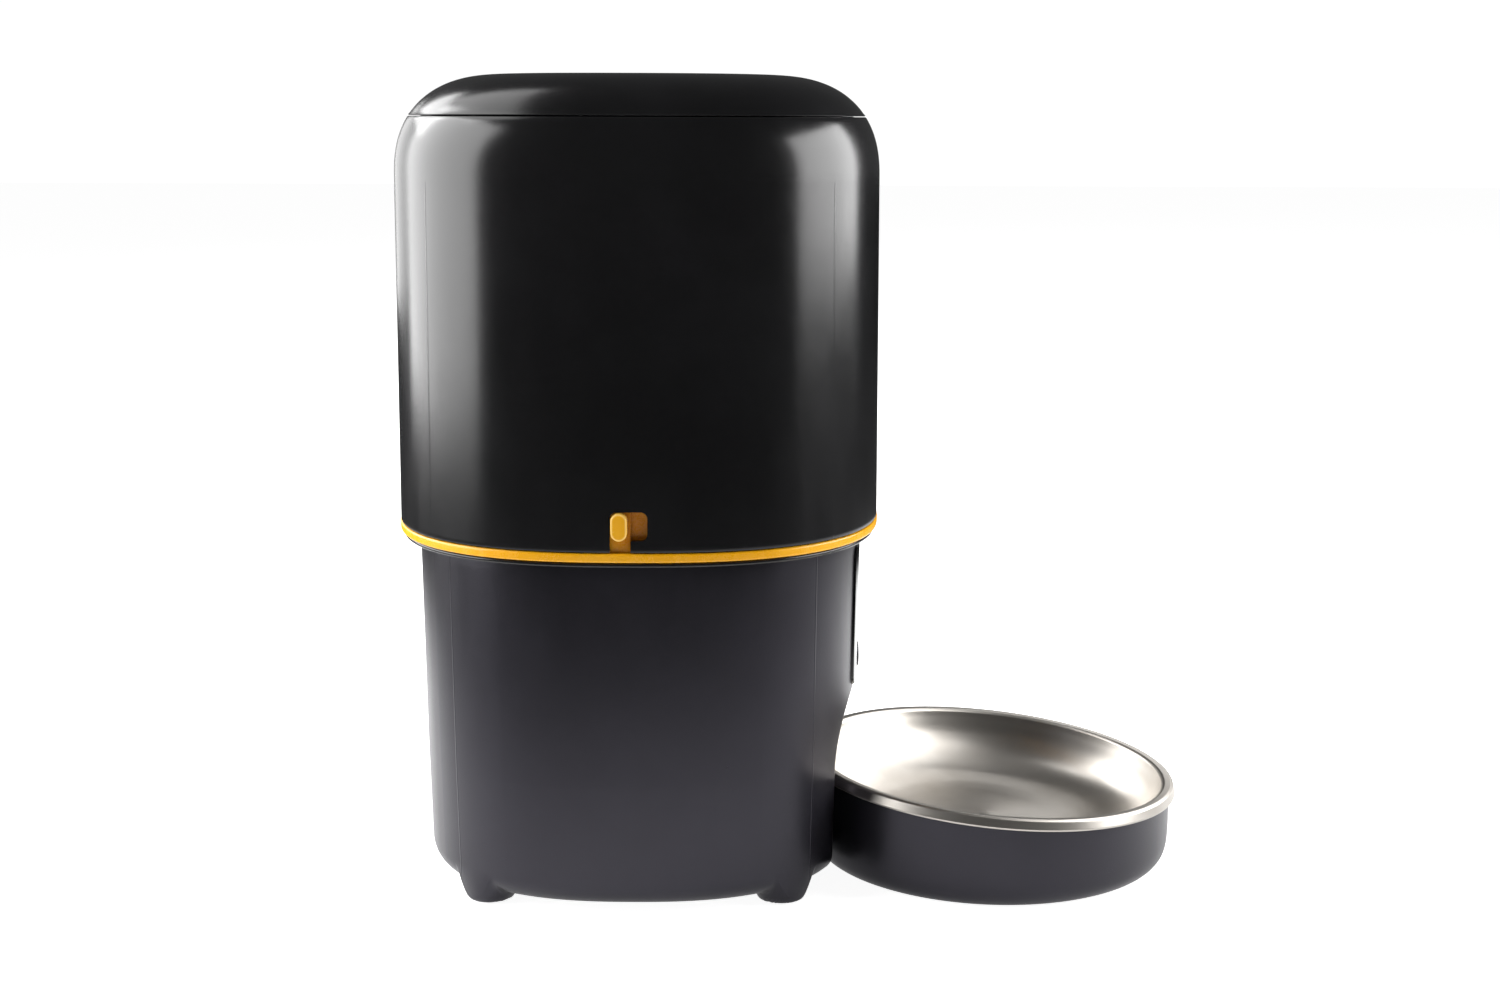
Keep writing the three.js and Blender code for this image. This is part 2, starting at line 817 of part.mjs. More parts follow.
function bottomPlate() {
  const low = baseBottom;
  const high = baseBottom + baseWall;
  const half = bottomOpening - gap;
  const plate = squared([[0, low], [half, low], [half, high], [0, high]]);
  const front = disc(recessRadius + recessWall + gap, low - 1, high + 1, 40).translate(bowlX, 0, 0);
  const seats = screwPlaces.flatMap(([x, y]) => [
    disc(screwHead + 0.4, low - 1, low + 1.6, 16).translate(x, y, 0),
    pilotHole(x, y, low - 1, high + 1),
  ]);
  const doorway = block(bay.rear, bay.front, -bay.half + 2, bay.half - 2, low - 1, high + 1);
  return cut(plate, front, doorway, ...seats);
}

function footPad() {
  return disc(padRadius, 0, padThick, 16);
}

function chute() {
  return cut(chuteBlock(0), chuteBlock(chuteWall, 3), recessTool(recessWall + gap), ...sensorHoles());
}

const sensor = { x: outlet.far + 6, height: deckTop - 41.3, radius: 2.2 };

function sensorHoles() {
  return [-1, 1].map((side) => {
    const tool = disc(sensor.radius, 0, 12, 12).rotateX(Math.PI / 2);
    return tool.translate(sensor.x, side * 25 + 6, sensor.height);
  });
}

function sensorBlock(side) {
  const { x, height } = sensor;
  const face = outlet.half + spoutWall + 2.8 + gap;
  const y0 = side > 0 ? face : -face - 6;
  return block(x - 4, x + 4, y0, y0 + 6, height - 4, height + 4);
}

// The ways for the feed button and the status lens.
function panelHoles() {
  const back = baseMidHalf - 20;
  const button = disc(buttonRadius + 0.4, back, tankHalf + 5);
  const lens = disc(1.6 + gap, back, tankHalf + 5, 12);
  return [alongX(button).translate(0, 0, buttonHeight), alongX(lens).translate(0, 0, lensHeight)];
}

function frontPanel() {
  return cut(frontBand(0, panelSeat - gap, panelProud), ...panelHoles());
}

function feedButton() {
  const face = baseSide(buttonHeight) + panelProud + buttonProud;
  const back = baseSide(buttonHeight) - baseWall - gap;
  const cap = turned([
    [0, back - 1],
    [buttonRadius, back - 1],
    [buttonRadius, face - 0.5],
    [buttonRadius - 0.6, face],
    [0, face],
  ]);
  const ears = block(back - 1, back - 0.2, -buttonRadius - 2, buttonRadius + 2, -2.5, 2.5);
  return join(alongX(cap), ears).translate(0, 0, buttonHeight);
}

function statusLens() {
  const face = baseSide(lensHeight) + panelProud + 0.3;
  const outline = [[0, face - 4], [1.6, face - 4], [1.6, face - 0.4], [1, face], [0, face]];
  return alongX(turned(outline, 12)).translate(0, 0, lensHeight);
}

const buttonBack = baseSide(buttonHeight) - baseWall - gap - 1;

function buttonBoard() {
  const front = buttonBack - buttonTravel - 0.8;
  const board = block(front - 1.6, front, -14, 14, panelLow + 1, panelLow + 31);
  const key = block(front - 0.5, front + 0.5, -3, 3, buttonHeight - 3, buttonHeight + 3);
  return join(board, key);
}

function mainBoard() {
  const board = block(-42, 18, -40, -38.4, bay.top + gap, deckTop - 29.3);
  const chip = block(-24, -8, -38.6, -36.4, 72, 88);
  const capacitor = block(4, 13, -38.6, -30, 58, 67);
  return join(board, chip, capacitor);
}

function powerSocket() {
  const mouth = -(baseSide(socketHeight) - 0.4);
  const shellInner = -(baseSide(socketHeight) - baseWall - gap - 0.3);
  const neck = turned([[0, 0], [3.9, 0], [3.9, 6], [0, 6]]);
  const nose = alongX(neck).translate(mouth, 0, 0);
  const body = block(shellInner, shellInner + 11, -5, 5, -5.5, 5.5);
  const bore = alongX(disc(2.75, -1, 10)).translate(mouth, 0, 0);
  const pin = alongX(disc(0.9, 2, 11, 12)).translate(mouth, 0, 0);
  return join(cut(join(nose, body), bore), pin).translate(0, 0, socketHeight);
}

function batteryBox() {
  const low = baseBottom + baseWall + gap;
  const { rear, front, half, top, wall } = bay;
  const outer = block(rear - wall, front + wall, -half, half, low, top);
  const inner = block(rear, front, -half + wall, half - wall, low - 1, top - wall);
  const rails = [-42, -37.6].map((y) => block(-40, 16, y, y + 1.2, top - 1, top + 5));
  return cut(join(outer, ...rails), inner);
}

function batteryContact(end) {
  const x = end < 0 ? bay.rear + gap : bay.front - gap - 0.8;
  return block(x, x + 0.8, -bay.half + 8, bay.half - 8, 16, 34);
}

function batteryDoor() {
  const room = 0.5;
  const low = baseBottom + 0.2;
  const high = low + doorThick;
  const half = bay.half - bay.wall - room;
  const plate = block(bay.rear + room, bay.front - room, -half, half, low, high);
  const thumb = block(bay.front - 9, bay.front - 4, -9, 9, low - 1, low + 0.8);
  return cut(plate, thumb);
}

// ---- the bowl and its holder

function bowl() {
  const inner = [
    [bowlRim - 5.4, 0.3],
    [bowlRim - 6.6, -3],
    [bowlRim - 9.2, -8.5],
    [bowlRim - 14.3, -14.6],
    [bowlRim - 22.8, -19.4],
    [bowlRim - 32.3, -21.7],
    [bowlRim - 34.8, -22.5],
  ];
  const outer = inner.map(([r, z], i) => {
    const lean = i / (inner.length - 1);
    return [r + bowlWall * (1 - lean * 0.7), z - bowlWall * lean];
  });
  const under = 1 - bowlWall;
  return turned(
    [
      [0, 1 - bowlDepth - bowlWall + 0.1],
      ...outer.slice(1).reverse(),
      [inner[0][0] + bowlWall, under],
      [bowlRim - bowlWall, under],
      [bowlRim - bowlWall, -3],
      [bowlRim - bowlWall / 2, -3.2],
      [bowlRim, -3],
      [bowlRim, 0.3],
      [bowlRim - 0.8, 1],
      [inner[0][0] + 1.2, 1],
      ...inner,
      [0, 1 - bowlDepth + 0.1],
    ],
    40,
  );
}

// The holder's cup is turned upright, and its top is cut off parallel to the tilted rim.
function bowlHolder() {
  const r = holderRadius;
  const inside = r - holderWall;
  const cup = turned(
    [
      [0, 0],
      [r - 8, 0],
      [r - 4, 1.1],
      [r - 1.4, 4],
      [r - 0.3, 8],
      [r, 14],
      [r, 60],
      [inside, 60],
      [inside, 12],
      [inside - 1.2, 6.6],
      [inside - 5, 3.2],
      [0, 2.4],
    ],
    40,
  );
  const wide = 2 * holderRadius;
  const above = block(-wide, wide, -wide, wide, -bowlGapUnderRim, 60).rotateY(bowlTilt);
  const tabs = dockTabs(0).map((tab) => tab.translate(-bowlX, 0, 0));
  return join(cut(cup, above.translate(0, 0, bowlRimHeight)), ...tabs);
}

// ---- materials

const shades = {
  tank: { color: 0x17171a, roughness: 0.32, metalness: 0 },
  base: { color: 0x2b2a2f, roughness: 0.5, metalness: 0 },
  amber: { color: 0xdc8f10, roughness: 0.38, metalness: 0 },
  panel: { color: 0x0c0c0e, roughness: 0.15, metalness: 0 },
  inner: { color: 0xd9d9d4, roughness: 0.5, metalness: 0 },
  soft: { color: 0x3a3a3c, roughness: 0.8, metalness: 0 },
  board: { color: 0x1f5a34, roughness: 0.5, metalness: 0 },
  steel: { color: 0xc4c1bb, roughness: 0.28, metalness: 1 },
  brass: { color: 0xb8923f, roughness: 0.35, metalness: 1 },
  lens: { color: 0xe8f2ff, roughness: 0.1, metalness: 0 },
};

const feeder = new THREE.Group();

function add(name, geometry, shade, parent = feeder) {
  const mesh = new THREE.Mesh(geometry, new THREE.MeshStandardMaterial(shades[shade]));
  mesh.name = name;
  parent.add(mesh);
  return mesh;
}

// ---- the assembly

add("lid_shell", lidShell(), "tank");
add("lid_plug", lidPlug(), "inner");
add("lid_seal", lidSeal(), "soft");
add("desiccant_box", dryBoxShell(), "inner");
add("desiccant_cap", dryCap(), "inner");

add("tank_shell", tankShell(), "tank");
add("tank_funnel", tankFunnel(), "base");

add("dispenser_tray", dispenserTray(), "amber");
add("rotor_cover", rotorCover(), "inner");
add("rotor", rotor(), "inner");
add("agitator", agitator(), "soft");
add("latch_slider", latchSlider(), "amber");

add("drive_gear", driveGear(), "inner");
add("drive_shaft", driveShaft(), "steel");
const motorGroup = new THREE.Group();
motorGroup.position.x = pinionX;
feeder.add(motorGroup);
add("pinion", pinion(), "brass", motorGroup);
add("motor_shaft", motorShaft(), "steel", motorGroup);
add("gear_head", gearHead(), "steel", motorGroup);
add("motor", motor(), "steel", motorGroup);
add("gear_case", gearCase(), "base");
add("shaft_bushing", shaftBushing(), "brass");

add("base_shell", baseShell(), "base");
add("base_deck", baseDeck(), "tank");
add("bottom_plate", bottomPlate(), "base");
add("chute", chute(), "base");
add("sensor_emitter", sensorBlock(1), "panel");
add("sensor_receiver", sensorBlock(-1), "panel");
add("front_panel", frontPanel(), "panel");
add("feed_button", feedButton(), "base");
add("status_lens", statusLens(), "lens");
add("button_board", buttonBoard(), "board");
add("main_board", mainBoard(), "board");
add("power_socket", powerSocket(), "panel");
add("battery_box", batteryBox(), "base");
add("battery_contact_rear", batteryContact(-1), "steel");
add("battery_contact_front", batteryContact(1), "steel");
add("battery_door", batteryDoor(), "base");

cornerPlaces(footX, footY).forEach(([x, y], i) => {
  add(`foot_pad_${i + 1}`, footPad(), "soft").position.set(x, y, 0);
});
screwPlaces.forEach(([x, y], i) => {
  add(`bottom_screw_${i + 1}`, screw(x, y, baseBottom + 0.1, 21), "steel");
});
cornerPlaces(deckScrewPlace, deckScrewPlace).forEach(([x, y], i) => {
  add(`deck_screw_${i + 1}`, screw(x, y, deckTop - 0.1, deckTop - 17), "steel");
});

const bowlGroup = new THREE.Group();
bowlGroup.position.x = bowlX;
feeder.add(bowlGroup);
add("bowl_holder", bowlHolder(), "base", bowlGroup);
const bowlMesh = add("bowl", bowl(), "steel", bowlGroup);
bowlMesh.position.z = bowlRimHeight;
bowlMesh.rotation.y = bowlTilt;

// Centre the whole over the origin.
const rearmost = tankHalf + 0.2;
const foremost = bowlX + bowlRim * Math.cos(bowlTilt);
feeder.position.x = (rearmost - foremost) / 2;

export default feeder;
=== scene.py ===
import json
import math
import bpy
import bmesh
import numpy as np
from mathutils import Euler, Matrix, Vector


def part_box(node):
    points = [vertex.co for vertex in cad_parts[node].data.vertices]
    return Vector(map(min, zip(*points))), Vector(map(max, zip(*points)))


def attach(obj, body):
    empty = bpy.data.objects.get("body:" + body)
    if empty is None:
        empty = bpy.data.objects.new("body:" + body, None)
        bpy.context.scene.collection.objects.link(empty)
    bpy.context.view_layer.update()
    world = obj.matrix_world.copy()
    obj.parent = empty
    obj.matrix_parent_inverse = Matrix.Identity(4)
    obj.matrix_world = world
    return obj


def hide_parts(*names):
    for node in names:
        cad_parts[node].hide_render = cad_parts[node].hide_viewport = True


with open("model.json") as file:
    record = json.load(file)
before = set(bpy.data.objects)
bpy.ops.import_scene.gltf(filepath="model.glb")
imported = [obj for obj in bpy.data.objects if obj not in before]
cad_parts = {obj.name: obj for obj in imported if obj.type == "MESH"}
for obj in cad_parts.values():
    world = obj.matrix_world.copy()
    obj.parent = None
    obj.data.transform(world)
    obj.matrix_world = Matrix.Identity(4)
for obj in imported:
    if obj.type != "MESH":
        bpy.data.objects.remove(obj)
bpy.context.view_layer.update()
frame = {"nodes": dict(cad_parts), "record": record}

# Sizes below are in millimetres about the tank's axis; everything built is turned to metres on that axis.
mm = 0.001
axisX = (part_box("tank_shell")[0].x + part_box("tank_shell")[1].x) / 2
planPower = 2.5  # squareness of the feeder's plan: 2 is a circle
bowlX = 136.0
bowlTilt = math.radians(4.4)
bowlRimHeight = 35.0
print("frame loaded, tank axis at", round(axisX, 5))


# Node trees written as expressions

class Wire:  # one socket; arithmetic on it adds Math nodes
    def __init__(self, maker, socket):
        self.maker, self.socket = maker, socket

    def maths(self, operation, *values):
        return self.maker.add("ShaderNodeMath", {"operation": operation}, dict(enumerate(values)))

    def __add__(self, other): return self.maths("ADD", self, other)
    def __radd__(self, other): return self.maths("ADD", other, self)
    def __sub__(self, other): return self.maths("SUBTRACT", self, other)
    def __rsub__(self, other): return self.maths("SUBTRACT", other, self)
    def __mul__(self, other): return self.maths("MULTIPLY", self, other)
    def __rmul__(self, other): return self.maths("MULTIPLY", other, self)
    def __truediv__(self, other): return self.maths("DIVIDE", self, other)
    def __rtruediv__(self, other): return self.maths("DIVIDE", other, self)
    def __pow__(self, other): return self.maths("POWER", self, other)
    def __abs__(self): return self.maths("ABSOLUTE", self)


class Maker:  # adds nodes to one tree
    def __init__(self, tree):
        self.tree = tree

    def add(self, kind, settings=None, values=None, output=0):
        node = self.tree.nodes.new(kind)
        for key, value in (settings or {}).items():
            if key == "stops":
                self.setStops(node.color_ramp, value)
            else:
                setattr(node, key, value)
        for key, value in (values or {}).items():
            socket = node.inputs[key]
            if isinstance(value, Wire):
                self.tree.links.new(value.socket, socket)
            else:
                socket.default_value = value
        self.last = node
        return Wire(self, node.outputs[output]) if node.outputs else node

    def setStops(self, ramp, stops):
        while len(ramp.elements) > 1:
            ramp.elements.remove(ramp.elements[-1])
        for i, (place, value) in enumerate(stops):
            element = ramp.elements[0] if i == 0 else ramp.elements.new(place)
            element.position = place
            element.color = (value, value, value, 1)

    def other(self, output):
        return Wire(self, self.last.outputs[output])


def colour(red, green, blue):
    # screen values 0-255 to the linear colour Blender works in
    def linear(value):
        share = value / 255
        return share / 12.92 if share <= 0.04045 else ((share + 0.055) / 1.055) ** 2.4
    return (linear(red), linear(green), linear(blue), 1)


class Finish(Maker):  # one material, with coordinates in millimetres about a chosen axis
    def __init__(self, name, centre=(0.0, 0.0, 0.0)):
        self.material = bpy.data.materials.new(name)
        self.material.use_nodes = True
        super().__init__(self.material.node_tree)
        self.tree.nodes.clear()
        coords = self.add("ShaderNodeTexCoord", output="Object")
        shift = [-(axisX / mm + centre[0]), -centre[1], -centre[2]]
        values = {"Vector": coords, "Location": shift, "Scale": (1 / mm,) * 3}
        self.place = self.add("ShaderNodeMapping", {}, values)
        self.x = self.add("ShaderNodeSeparateXYZ", {}, {0: self.place})
        self.y, self.z = self.other(1), self.other(2)

    def stretched(self, x, y, z):
        return self.add("ShaderNodeVectorMath", {"operation": "MULTIPLY"}, {0: self.place, 1: (x, y, z)})

    def noise(self, size, detail=2.0, place=None, roughness=0.5):
        values = {"Vector": place or self.place, "Scale": 1 / size, "Detail": detail, "Roughness": roughness}
        return self.add("ShaderNodeTexNoise", {}, values)

    def specks(self, size, reach):
        # 1 in the middle of a scattered speck, 0 away from it
        far = self.add("ShaderNodeTexVoronoi", {}, {"Vector": self.place, "Scale": 1 / size})
        return self.ramp(far, (0.0, 1.0), (reach, 0.0))

    def ramp(self, value, *stops):
        return self.add("ShaderNodeValToRGB", {"stops": stops}, {0: value})

    def near(self, value, middle, width):
        # 1 where value is at middle, falling to 0 at width away
        settings = {"operation": "SUBTRACT", "use_clamp": True}
        return self.add("ShaderNodeMath", settings, {0: 1.0, 1: abs(value - middle) / width})

    def mix(self, first, second, factor):
        settings = {"data_type": "RGBA", "clamp_factor": True}
        return self.add("ShaderNodeMix", settings, {0: factor, 6: first, 7: second}, output=2)

    def below(self, value, limit):
        # 1 under a limit, 0 over it
        return self.add("ShaderNodeMath", {"operation": "LESS_THAN"}, {0: value, 1: limit})

    def shade(self, tone, rough, height, **values):
        # height is the relief in millimetres
        normal = self.add("ShaderNodeBump", {}, {"Height": height, "Strength": 1.0, "Distance": mm})
        named = {key.replace("_", " "): value for key, value in values.items()}
        named.update({"Base Color": tone, "Roughness": rough, "Normal": normal})
        shader = self.add("ShaderNodeBsdfPrincipled", {}, named)
        self.add("ShaderNodeOutputMaterial", {}, {"Surface": shader})
        return self.material


# Finishes

def diagonalLine(finish, width):
    # the fine vertical line that the mould leaves down each corner of the plan
    return finish.near(abs(finish.x) - abs(finish.y), 6.0, width) * finish.below(finish.z, 262.0)


def latchHighlightAndShade(finish, look):
    # painted highlight and painted shade: 1 on the knob's front edge, where a pale highlight is painted, and
    # 1 on the wall the latch slides against, where shade is painted
    up = finish.z.maths("MAXIMUM", abs(finish.z - look["z"]) - look["tallHalf"], 0.0)
    spot = finish.add("ShaderNodeCombineXYZ", {}, {0: finish.x - look["x"], 1: up, 2: 0.0})
    reach = finish.add("ShaderNodeVectorMath", {"operation": "LENGTH"}, {0: spot}, output=1)
    proud = finish.below(finish.y, look["wall"])
    edge = finish.near(reach, look["edge"], 0.5) * proud
    wide = finish.near(finish.x, 0.0, 12.0)
    return edge, wide * finish.near(finish.z, look["z"], 12.0) * (1.0 - proud) * finish.below(finish.y, -84.0)


tankLook = {
    "colour": colour(19, 19, 20), "dusty": colour(34, 34, 36), "roughness": 0.2, "change": 0.1,
    "grain": 0.42, "grainDepth": 0.011, "wave": 34.0, "waveDepth": 0.05, "moulded": True,
}
baseLook = {
    "colour": colour(21, 20, 24), "dusty": colour(36, 35, 41), "roughness": 0.31, "change": 0.1,
    "grain": 0.55, "grainDepth": 0.034, "wave": 40.0, "waveDepth": 0.05, "moulded": True,
    "sheen": (0.88, 0.85, 1.0, 1.0),
}
amberLook = {
    "colour": colour(238, 168, 8), "dusty": colour(246, 186, 44), "roughness": 0.27, "change": 0.1,
    "grain": 0.5, "grainDepth": 0.014, "wave": 30.0, "waveDepth": 0.04,
    # where the painted highlight on the knob's edge and the painted shade on the wall behind the slot lie
    "latch": {"x": -3.15, "z": 146.25, "tallHalf": 2.0, "wall": -88.6, "edge": 2.5},
}
panelLook = {
    "colour": colour(9, 9, 11), "dusty": colour(24, 24, 28), "roughness": 0.12, "change": 0.08,
    "grain": 0.6, "grainDepth": 0.006, "wave": 22.0, "waveDepth": 0.02,
}
innerLook = {
    "colour": colour(48, 48, 51), "dusty": colour(72, 71, 73), "roughness": 0.45, "change": 0.12,
    "grain": 0.6, "grainDepth": 0.03, "wave": 25.0, "waveDepth": 0.04,
}
naturalLook = {
    "colour": colour(214, 211, 200), "dusty": colour(186, 181, 166), "roughness": 0.42, "change": 0.14,
    "grain": 0.7, "grainDepth": 0.02, "wave": 20.0, "waveDepth": 0.05,
}


def plastic(name, look, wearHeights=()):
    finish = Finish(name)
    cloud = finish.noise(look["wave"], 3)
    grain = finish.noise(look["grain"], 2, roughness=0.7)
    smear = finish.noise(9.0, 4, finish.stretched(1.0, 1.0, 0.25))
    specks = finish.specks(4.3, 0.045)
    dust = finish.ramp(cloud, (0.42, 0.0), (0.8, 0.35)) + specks * 0.5
    wear = 0.0
    for height in wearHeights:
        worn = finish.near(finish.z, height, 0.55)
        wear = worn * finish.noise(3.0, 3) * 0.8 + wear
    tone = finish.mix(look["colour"], look["dusty"], dust + wear)
    if "latch" in look:
        edge, paintedShade = latchHighlightAndShade(finish, look["latch"])
        # painted shade: the amber wall behind the slot, round the latch, is darkened where the recess lies in
        # shadow
        tone = finish.mix(tone, colour(212, 132, 2), finish.ramp(paintedShade, (0.1, 0.0), (0.5, 1.0)))
        # painted highlight: a pale rim on the knob's edge stands in for the light its rounded edge reflects
        tone = finish.mix(tone, colour(255, 214, 120), edge)
    rough = look["roughness"] + (smear - 0.5) * look["change"] + (grain - 0.5) * 0.08 + wear * 0.15
    height = grain * look["grainDepth"] + cloud * look["waveDepth"]
    if "moulded" in look:
        height = height + diagonalLine(finish, 0.6) * 0.09
    sheen = {"Specular_Tint": look["sheen"]} if "sheen" in look else {}
    return finish.shade(tone, rough, height, IOR=1.49, **sheen)


def rubber(name, tint):
    finish = Finish(name)
    grain = finish.noise(0.5, 3)
    cloud = finish.noise(7.0, 3)
    tone = finish.mix(tint, colour(92, 91, 90), finish.ramp(cloud, (0.45, 0.0), (0.9, 0.5)))
    rough = 0.72 + (grain - 0.5) * 0.2
    return finish.shade(tone, rough, grain * 0.05 + cloud * 0.05, Specular_IOR_Level=0.35)


def spunSteel(name):
    # drawn and polished steel: rings from the spinning, a soft bloom and a few fine scratches
    finish = Finish(name, (bowlX, 0.0, bowlRimHeight))
    flat = finish.stretched(1.0, 1.0, 0.0)
    radius = finish.add("ShaderNodeVectorMath", {"operation": "LENGTH"}, {0: flat}, output=1)
    around = finish.add("ShaderNodeCombineXYZ", {}, {0: radius, 1: 0.0, 2: finish.z * 0.4})
    rings = finish.noise(0.45, 3, around, 0.7)
    bloom = finish.noise(16.0, 3)
    scratch = finish.noise(1.2, 4, finish.stretched(0.25, 2.2, 1.0), 0.8)
    scratches = finish.ramp(scratch, (0.6, 0.0), (0.68, 1.0))
    tone = finish.mix(colour(202, 198, 192), colour(176, 170, 162), bloom)
    rough = 0.29 + bloom * 0.08 + (rings - 0.5) * 0.06 + scratches * 0.05
    height = rings * 0.006 + scratches * 0.002 + bloom * 0.03
    return finish.shade(tone, rough, height, Metallic=1.0, Anisotropic=0.4)


def machinedMetal(name, tint, stain, roughness):
    finish = Finish(name)
    lines = finish.noise(0.6, 3, finish.stretched(1.0, 1.0, 3.0))
    patches = finish.noise(5.0, 4)
    tone = finish.mix(tint, stain, finish.ramp(patches, (0.4, 0.0), (0.75, 0.7)))
    rough = roughness + patches * 0.15 + (lines - 0.5) * 0.15
    return finish.shade(tone, rough, lines * 0.02 + patches * 0.03, Metallic=1.0)


def circuitBoard(name):
    finish = Finish(name)
    lanes = finish.noise(2.2, 1, finish.stretched(1.0, 1.0, 0.3))
    tracks = finish.ramp(lanes, (0.47, 0.0), (0.5, 1.0), (0.53, 0.0))
    cloth = finish.add("ShaderNodeTexWave", {"wave_type": "BANDS"}, {"Vector": finish.place, "Scale": 2.0})
    tone = finish.mix(colour(24, 78, 46), colour(58, 122, 74), tracks)
    rough = 0.36 + cloth * 0.06
    return finish.shade(tone, rough, tracks * 0.04 + cloth * 0.01)


def clearLens(name):
    finish = Finish(name)
    haze = finish.noise(0.6, 2)
    tone = finish.mix(colour(214, 224, 232), colour(238, 243, 247), haze)
    rough = 0.12 + haze * 0.1
    return finish.shade(tone, rough, haze * 0.02, Transmission_Weight=0.6, IOR=1.49)


finishes = {
    "tank_black": plastic("satinBlackTank", tankLook, (137.1, 284.4)),
    "base_black": plastic("charcoalBase", baseLook),
    "amber": plastic("amberTray", amberLook),
    "panel_black": plastic("glossPanel", panelLook),
    "dark_inner": plastic("darkInnerPlastic", innerLook),
    "natural": plastic("naturalPlastic", naturalLook),
    "soft": rubber("softRubber", colour(44, 44, 46)),
    "bowl_steel": spunSteel("spunBowlSteel"),
    "machine_steel": machinedMetal("machineSteel", colour(178, 178, 176), colour(130, 128, 124), 0.24),
    "brass": machinedMetal("gearBrass", colour(204, 166, 88), colour(150, 112, 58), 0.26),
    "board": circuitBoard("boardLaminate"),
    "lens": clearLens("statusLens"),
}
print("finishes made:", len(finishes))


# Outlines

def filleted(corners, steps=5, closed=True):
    # corners are (radius, height, fillet); each fillet becomes an arc with a support point on either side
    points = []
    count = len(corners)
    for i, corner in enumerate(corners):
        here = np.array(corner[:2], float)
        fillet = corner[2] if len(corner) > 2 else 0.0
        ends = not closed and i in (0, count - 1)
        if fillet <= 0 or ends:
            points.append(tuple(here))
            continue
        back = np.array(corners[i - 1][:2], float) - here
        ahead = np.array(corners[(i + 1) % count][:2], float) - here
        backLong, aheadLong = np.hypot(*back), np.hypot(*ahead)
        back, ahead = back / backLong, ahead / aheadLong
        half = math.acos(np.clip(back @ ahead, -1, 1)) / 2
        run = min(fillet / math.tan(half), backLong * 0.49, aheadLong * 0.49)
        radius = run * math.tan(half)
        middle = back + ahead
        centre = here + middle / np.hypot(*middle) * (radius / math.sin(half))
        start, end = here + back * run - centre, here + ahead * run - centre
        turn = math.atan2(start[0] * end[1] - start[1] * end[0], start @ end)
        support = min(run * 0.6, backLong * 0.5 - run, aheadLong * 0.5 - run)
        if support > 0.02:
            points.append(tuple(here + back * (run + support)))
        for step in range(steps + 1):
            angle = turn * step / steps
            c, s = math.cos(angle), math.sin(angle)
            turned = (start[0] * c - start[1] * s, start[0] * s + start[1] * c)
            points.append(tuple(centre + np.array(turned)))
        if support > 0.02:
            points.append(tuple(here + ahead * (run + support)))
    return points


def arcPoints(centreX, centreY, radius, start, end, steps):
    angles = np.radians(np.linspace(start, end, steps + 1))
    return [(centreX + radius * math.cos(a), centreY + radius * math.sin(a)) for a in angles]


def circle(x, y, radius, sides=48):
    return arcPoints(x, y, radius, 0, 360 - 360 / sides, sides - 1)


def cornerPlaces(x, y):
    return [(x, y), (-x, y), (-x, -y), (x, -y)]


def boxOutline(x0, x1, y0, y1, radius, steps=6):
    # an anticlockwise rounded rectangle
    left, right, low, high = x0 + radius, x1 - radius, y0 + radius, y1 - radius
    corners = ((right, low, -90), (right, high, 0), (left, high, 90), (left, low, 180))
    return [point for x, y, start in corners for point in arcPoints(x, y, radius, start, start + 90, steps)]


# Meshes

def toMetres(points):
    points = np.asarray(points, float) * mm
    points[..., 0] += axisX
    return points


def meshFrom(name, points, faces, smoothAngle=38):
    mesh = bpy.data.meshes.new(name)
    mesh.from_pydata(toMetres(points).tolist(), [], [list(face) for face in faces])
    return tidied(mesh, smoothAngle)


def tidied(mesh, smoothAngle=38):
    work = bmesh.new()
    work.from_mesh(mesh)
    bmesh.ops.remove_doubles(work, verts=work.verts, dist=2e-6)
    bmesh.ops.dissolve_degenerate(work, edges=work.edges, dist=1e-7)
    if work.calc_volume(signed=True) < 0:
        bmesh.ops.reverse_faces(work, faces=work.faces)
    for face in work.faces:
        face.smooth = True
    work.to_mesh(mesh)
    work.free()
    mesh.set_sharp_from_angle(angle=math.radians(smoothAngle))
    return mesh


def gridFaces(rows, columns, aroundRows=False):
    faces = []
    for i in range(rows if aroundRows else rows - 1):
        k = (i + 1) % rows
        for j in range(columns):
            m = (j + 1) % columns
            faces.append((i * columns + j, i * columns + m, k * columns + m, k * columns + j))
    return faces


def loftMesh(name, rows, smoothAngle):
    # rows of points joined in turn, with a flat face over the first and over the last
    count = len(rows[0])
    points = [point for row in rows for point in row]
    faces = gridFaces(len(rows), count) + [tuple(range(count))[::-1]]
    faces.append(tuple(range(len(points) - count, len(points))))
    return meshFrom(name, points, faces, smoothAngle)


def prismMesh(name, outline, low, high, frameOf="up"):
    # a flat outline drawn out along +Z, or stood up to face the front (-Y) or the bowl (+X)
    points = [(x, y, low) for x, y in outline] + [(x, y, high) for x, y in outline]
    if frameOf == "front":
        points = [(x, z, y) for x, y, z in points]
    if frameOf == "bowl":
        points = [(z, x, y) for x, y, z in points]
    count = len(outline)
    faces = [tuple(range(count))[::-1], tuple(range(count, 2 * count))]
    faces += [(i, (i + 1) % count, (i + 1) % count + count, i + count) for i in range(count)]
    return meshFrom(name, points, faces, 30)


def taperedMesh(name, foot, head):
    # a straight duct between two rectangles: (near x, far x, half y, height)
    points = [(x, y, end[3]) for end in (foot, head) for x, y in
              ((end[0], -end[2]), (end[1], -end[2]), (end[1], end[2]), (end[0], end[2]))]
    faces = [(3, 2, 1, 0), (4, 5, 6, 7)] + [(i, (i + 1) % 4, (i + 1) % 4 + 4, i + 4) for i in range(4)]
    return meshFrom(name, points, faces, 30)


def linked(mesh, name):
    obj = bpy.data.objects.new(name, mesh)
    bpy.context.scene.collection.objects.link(obj)
    return obj


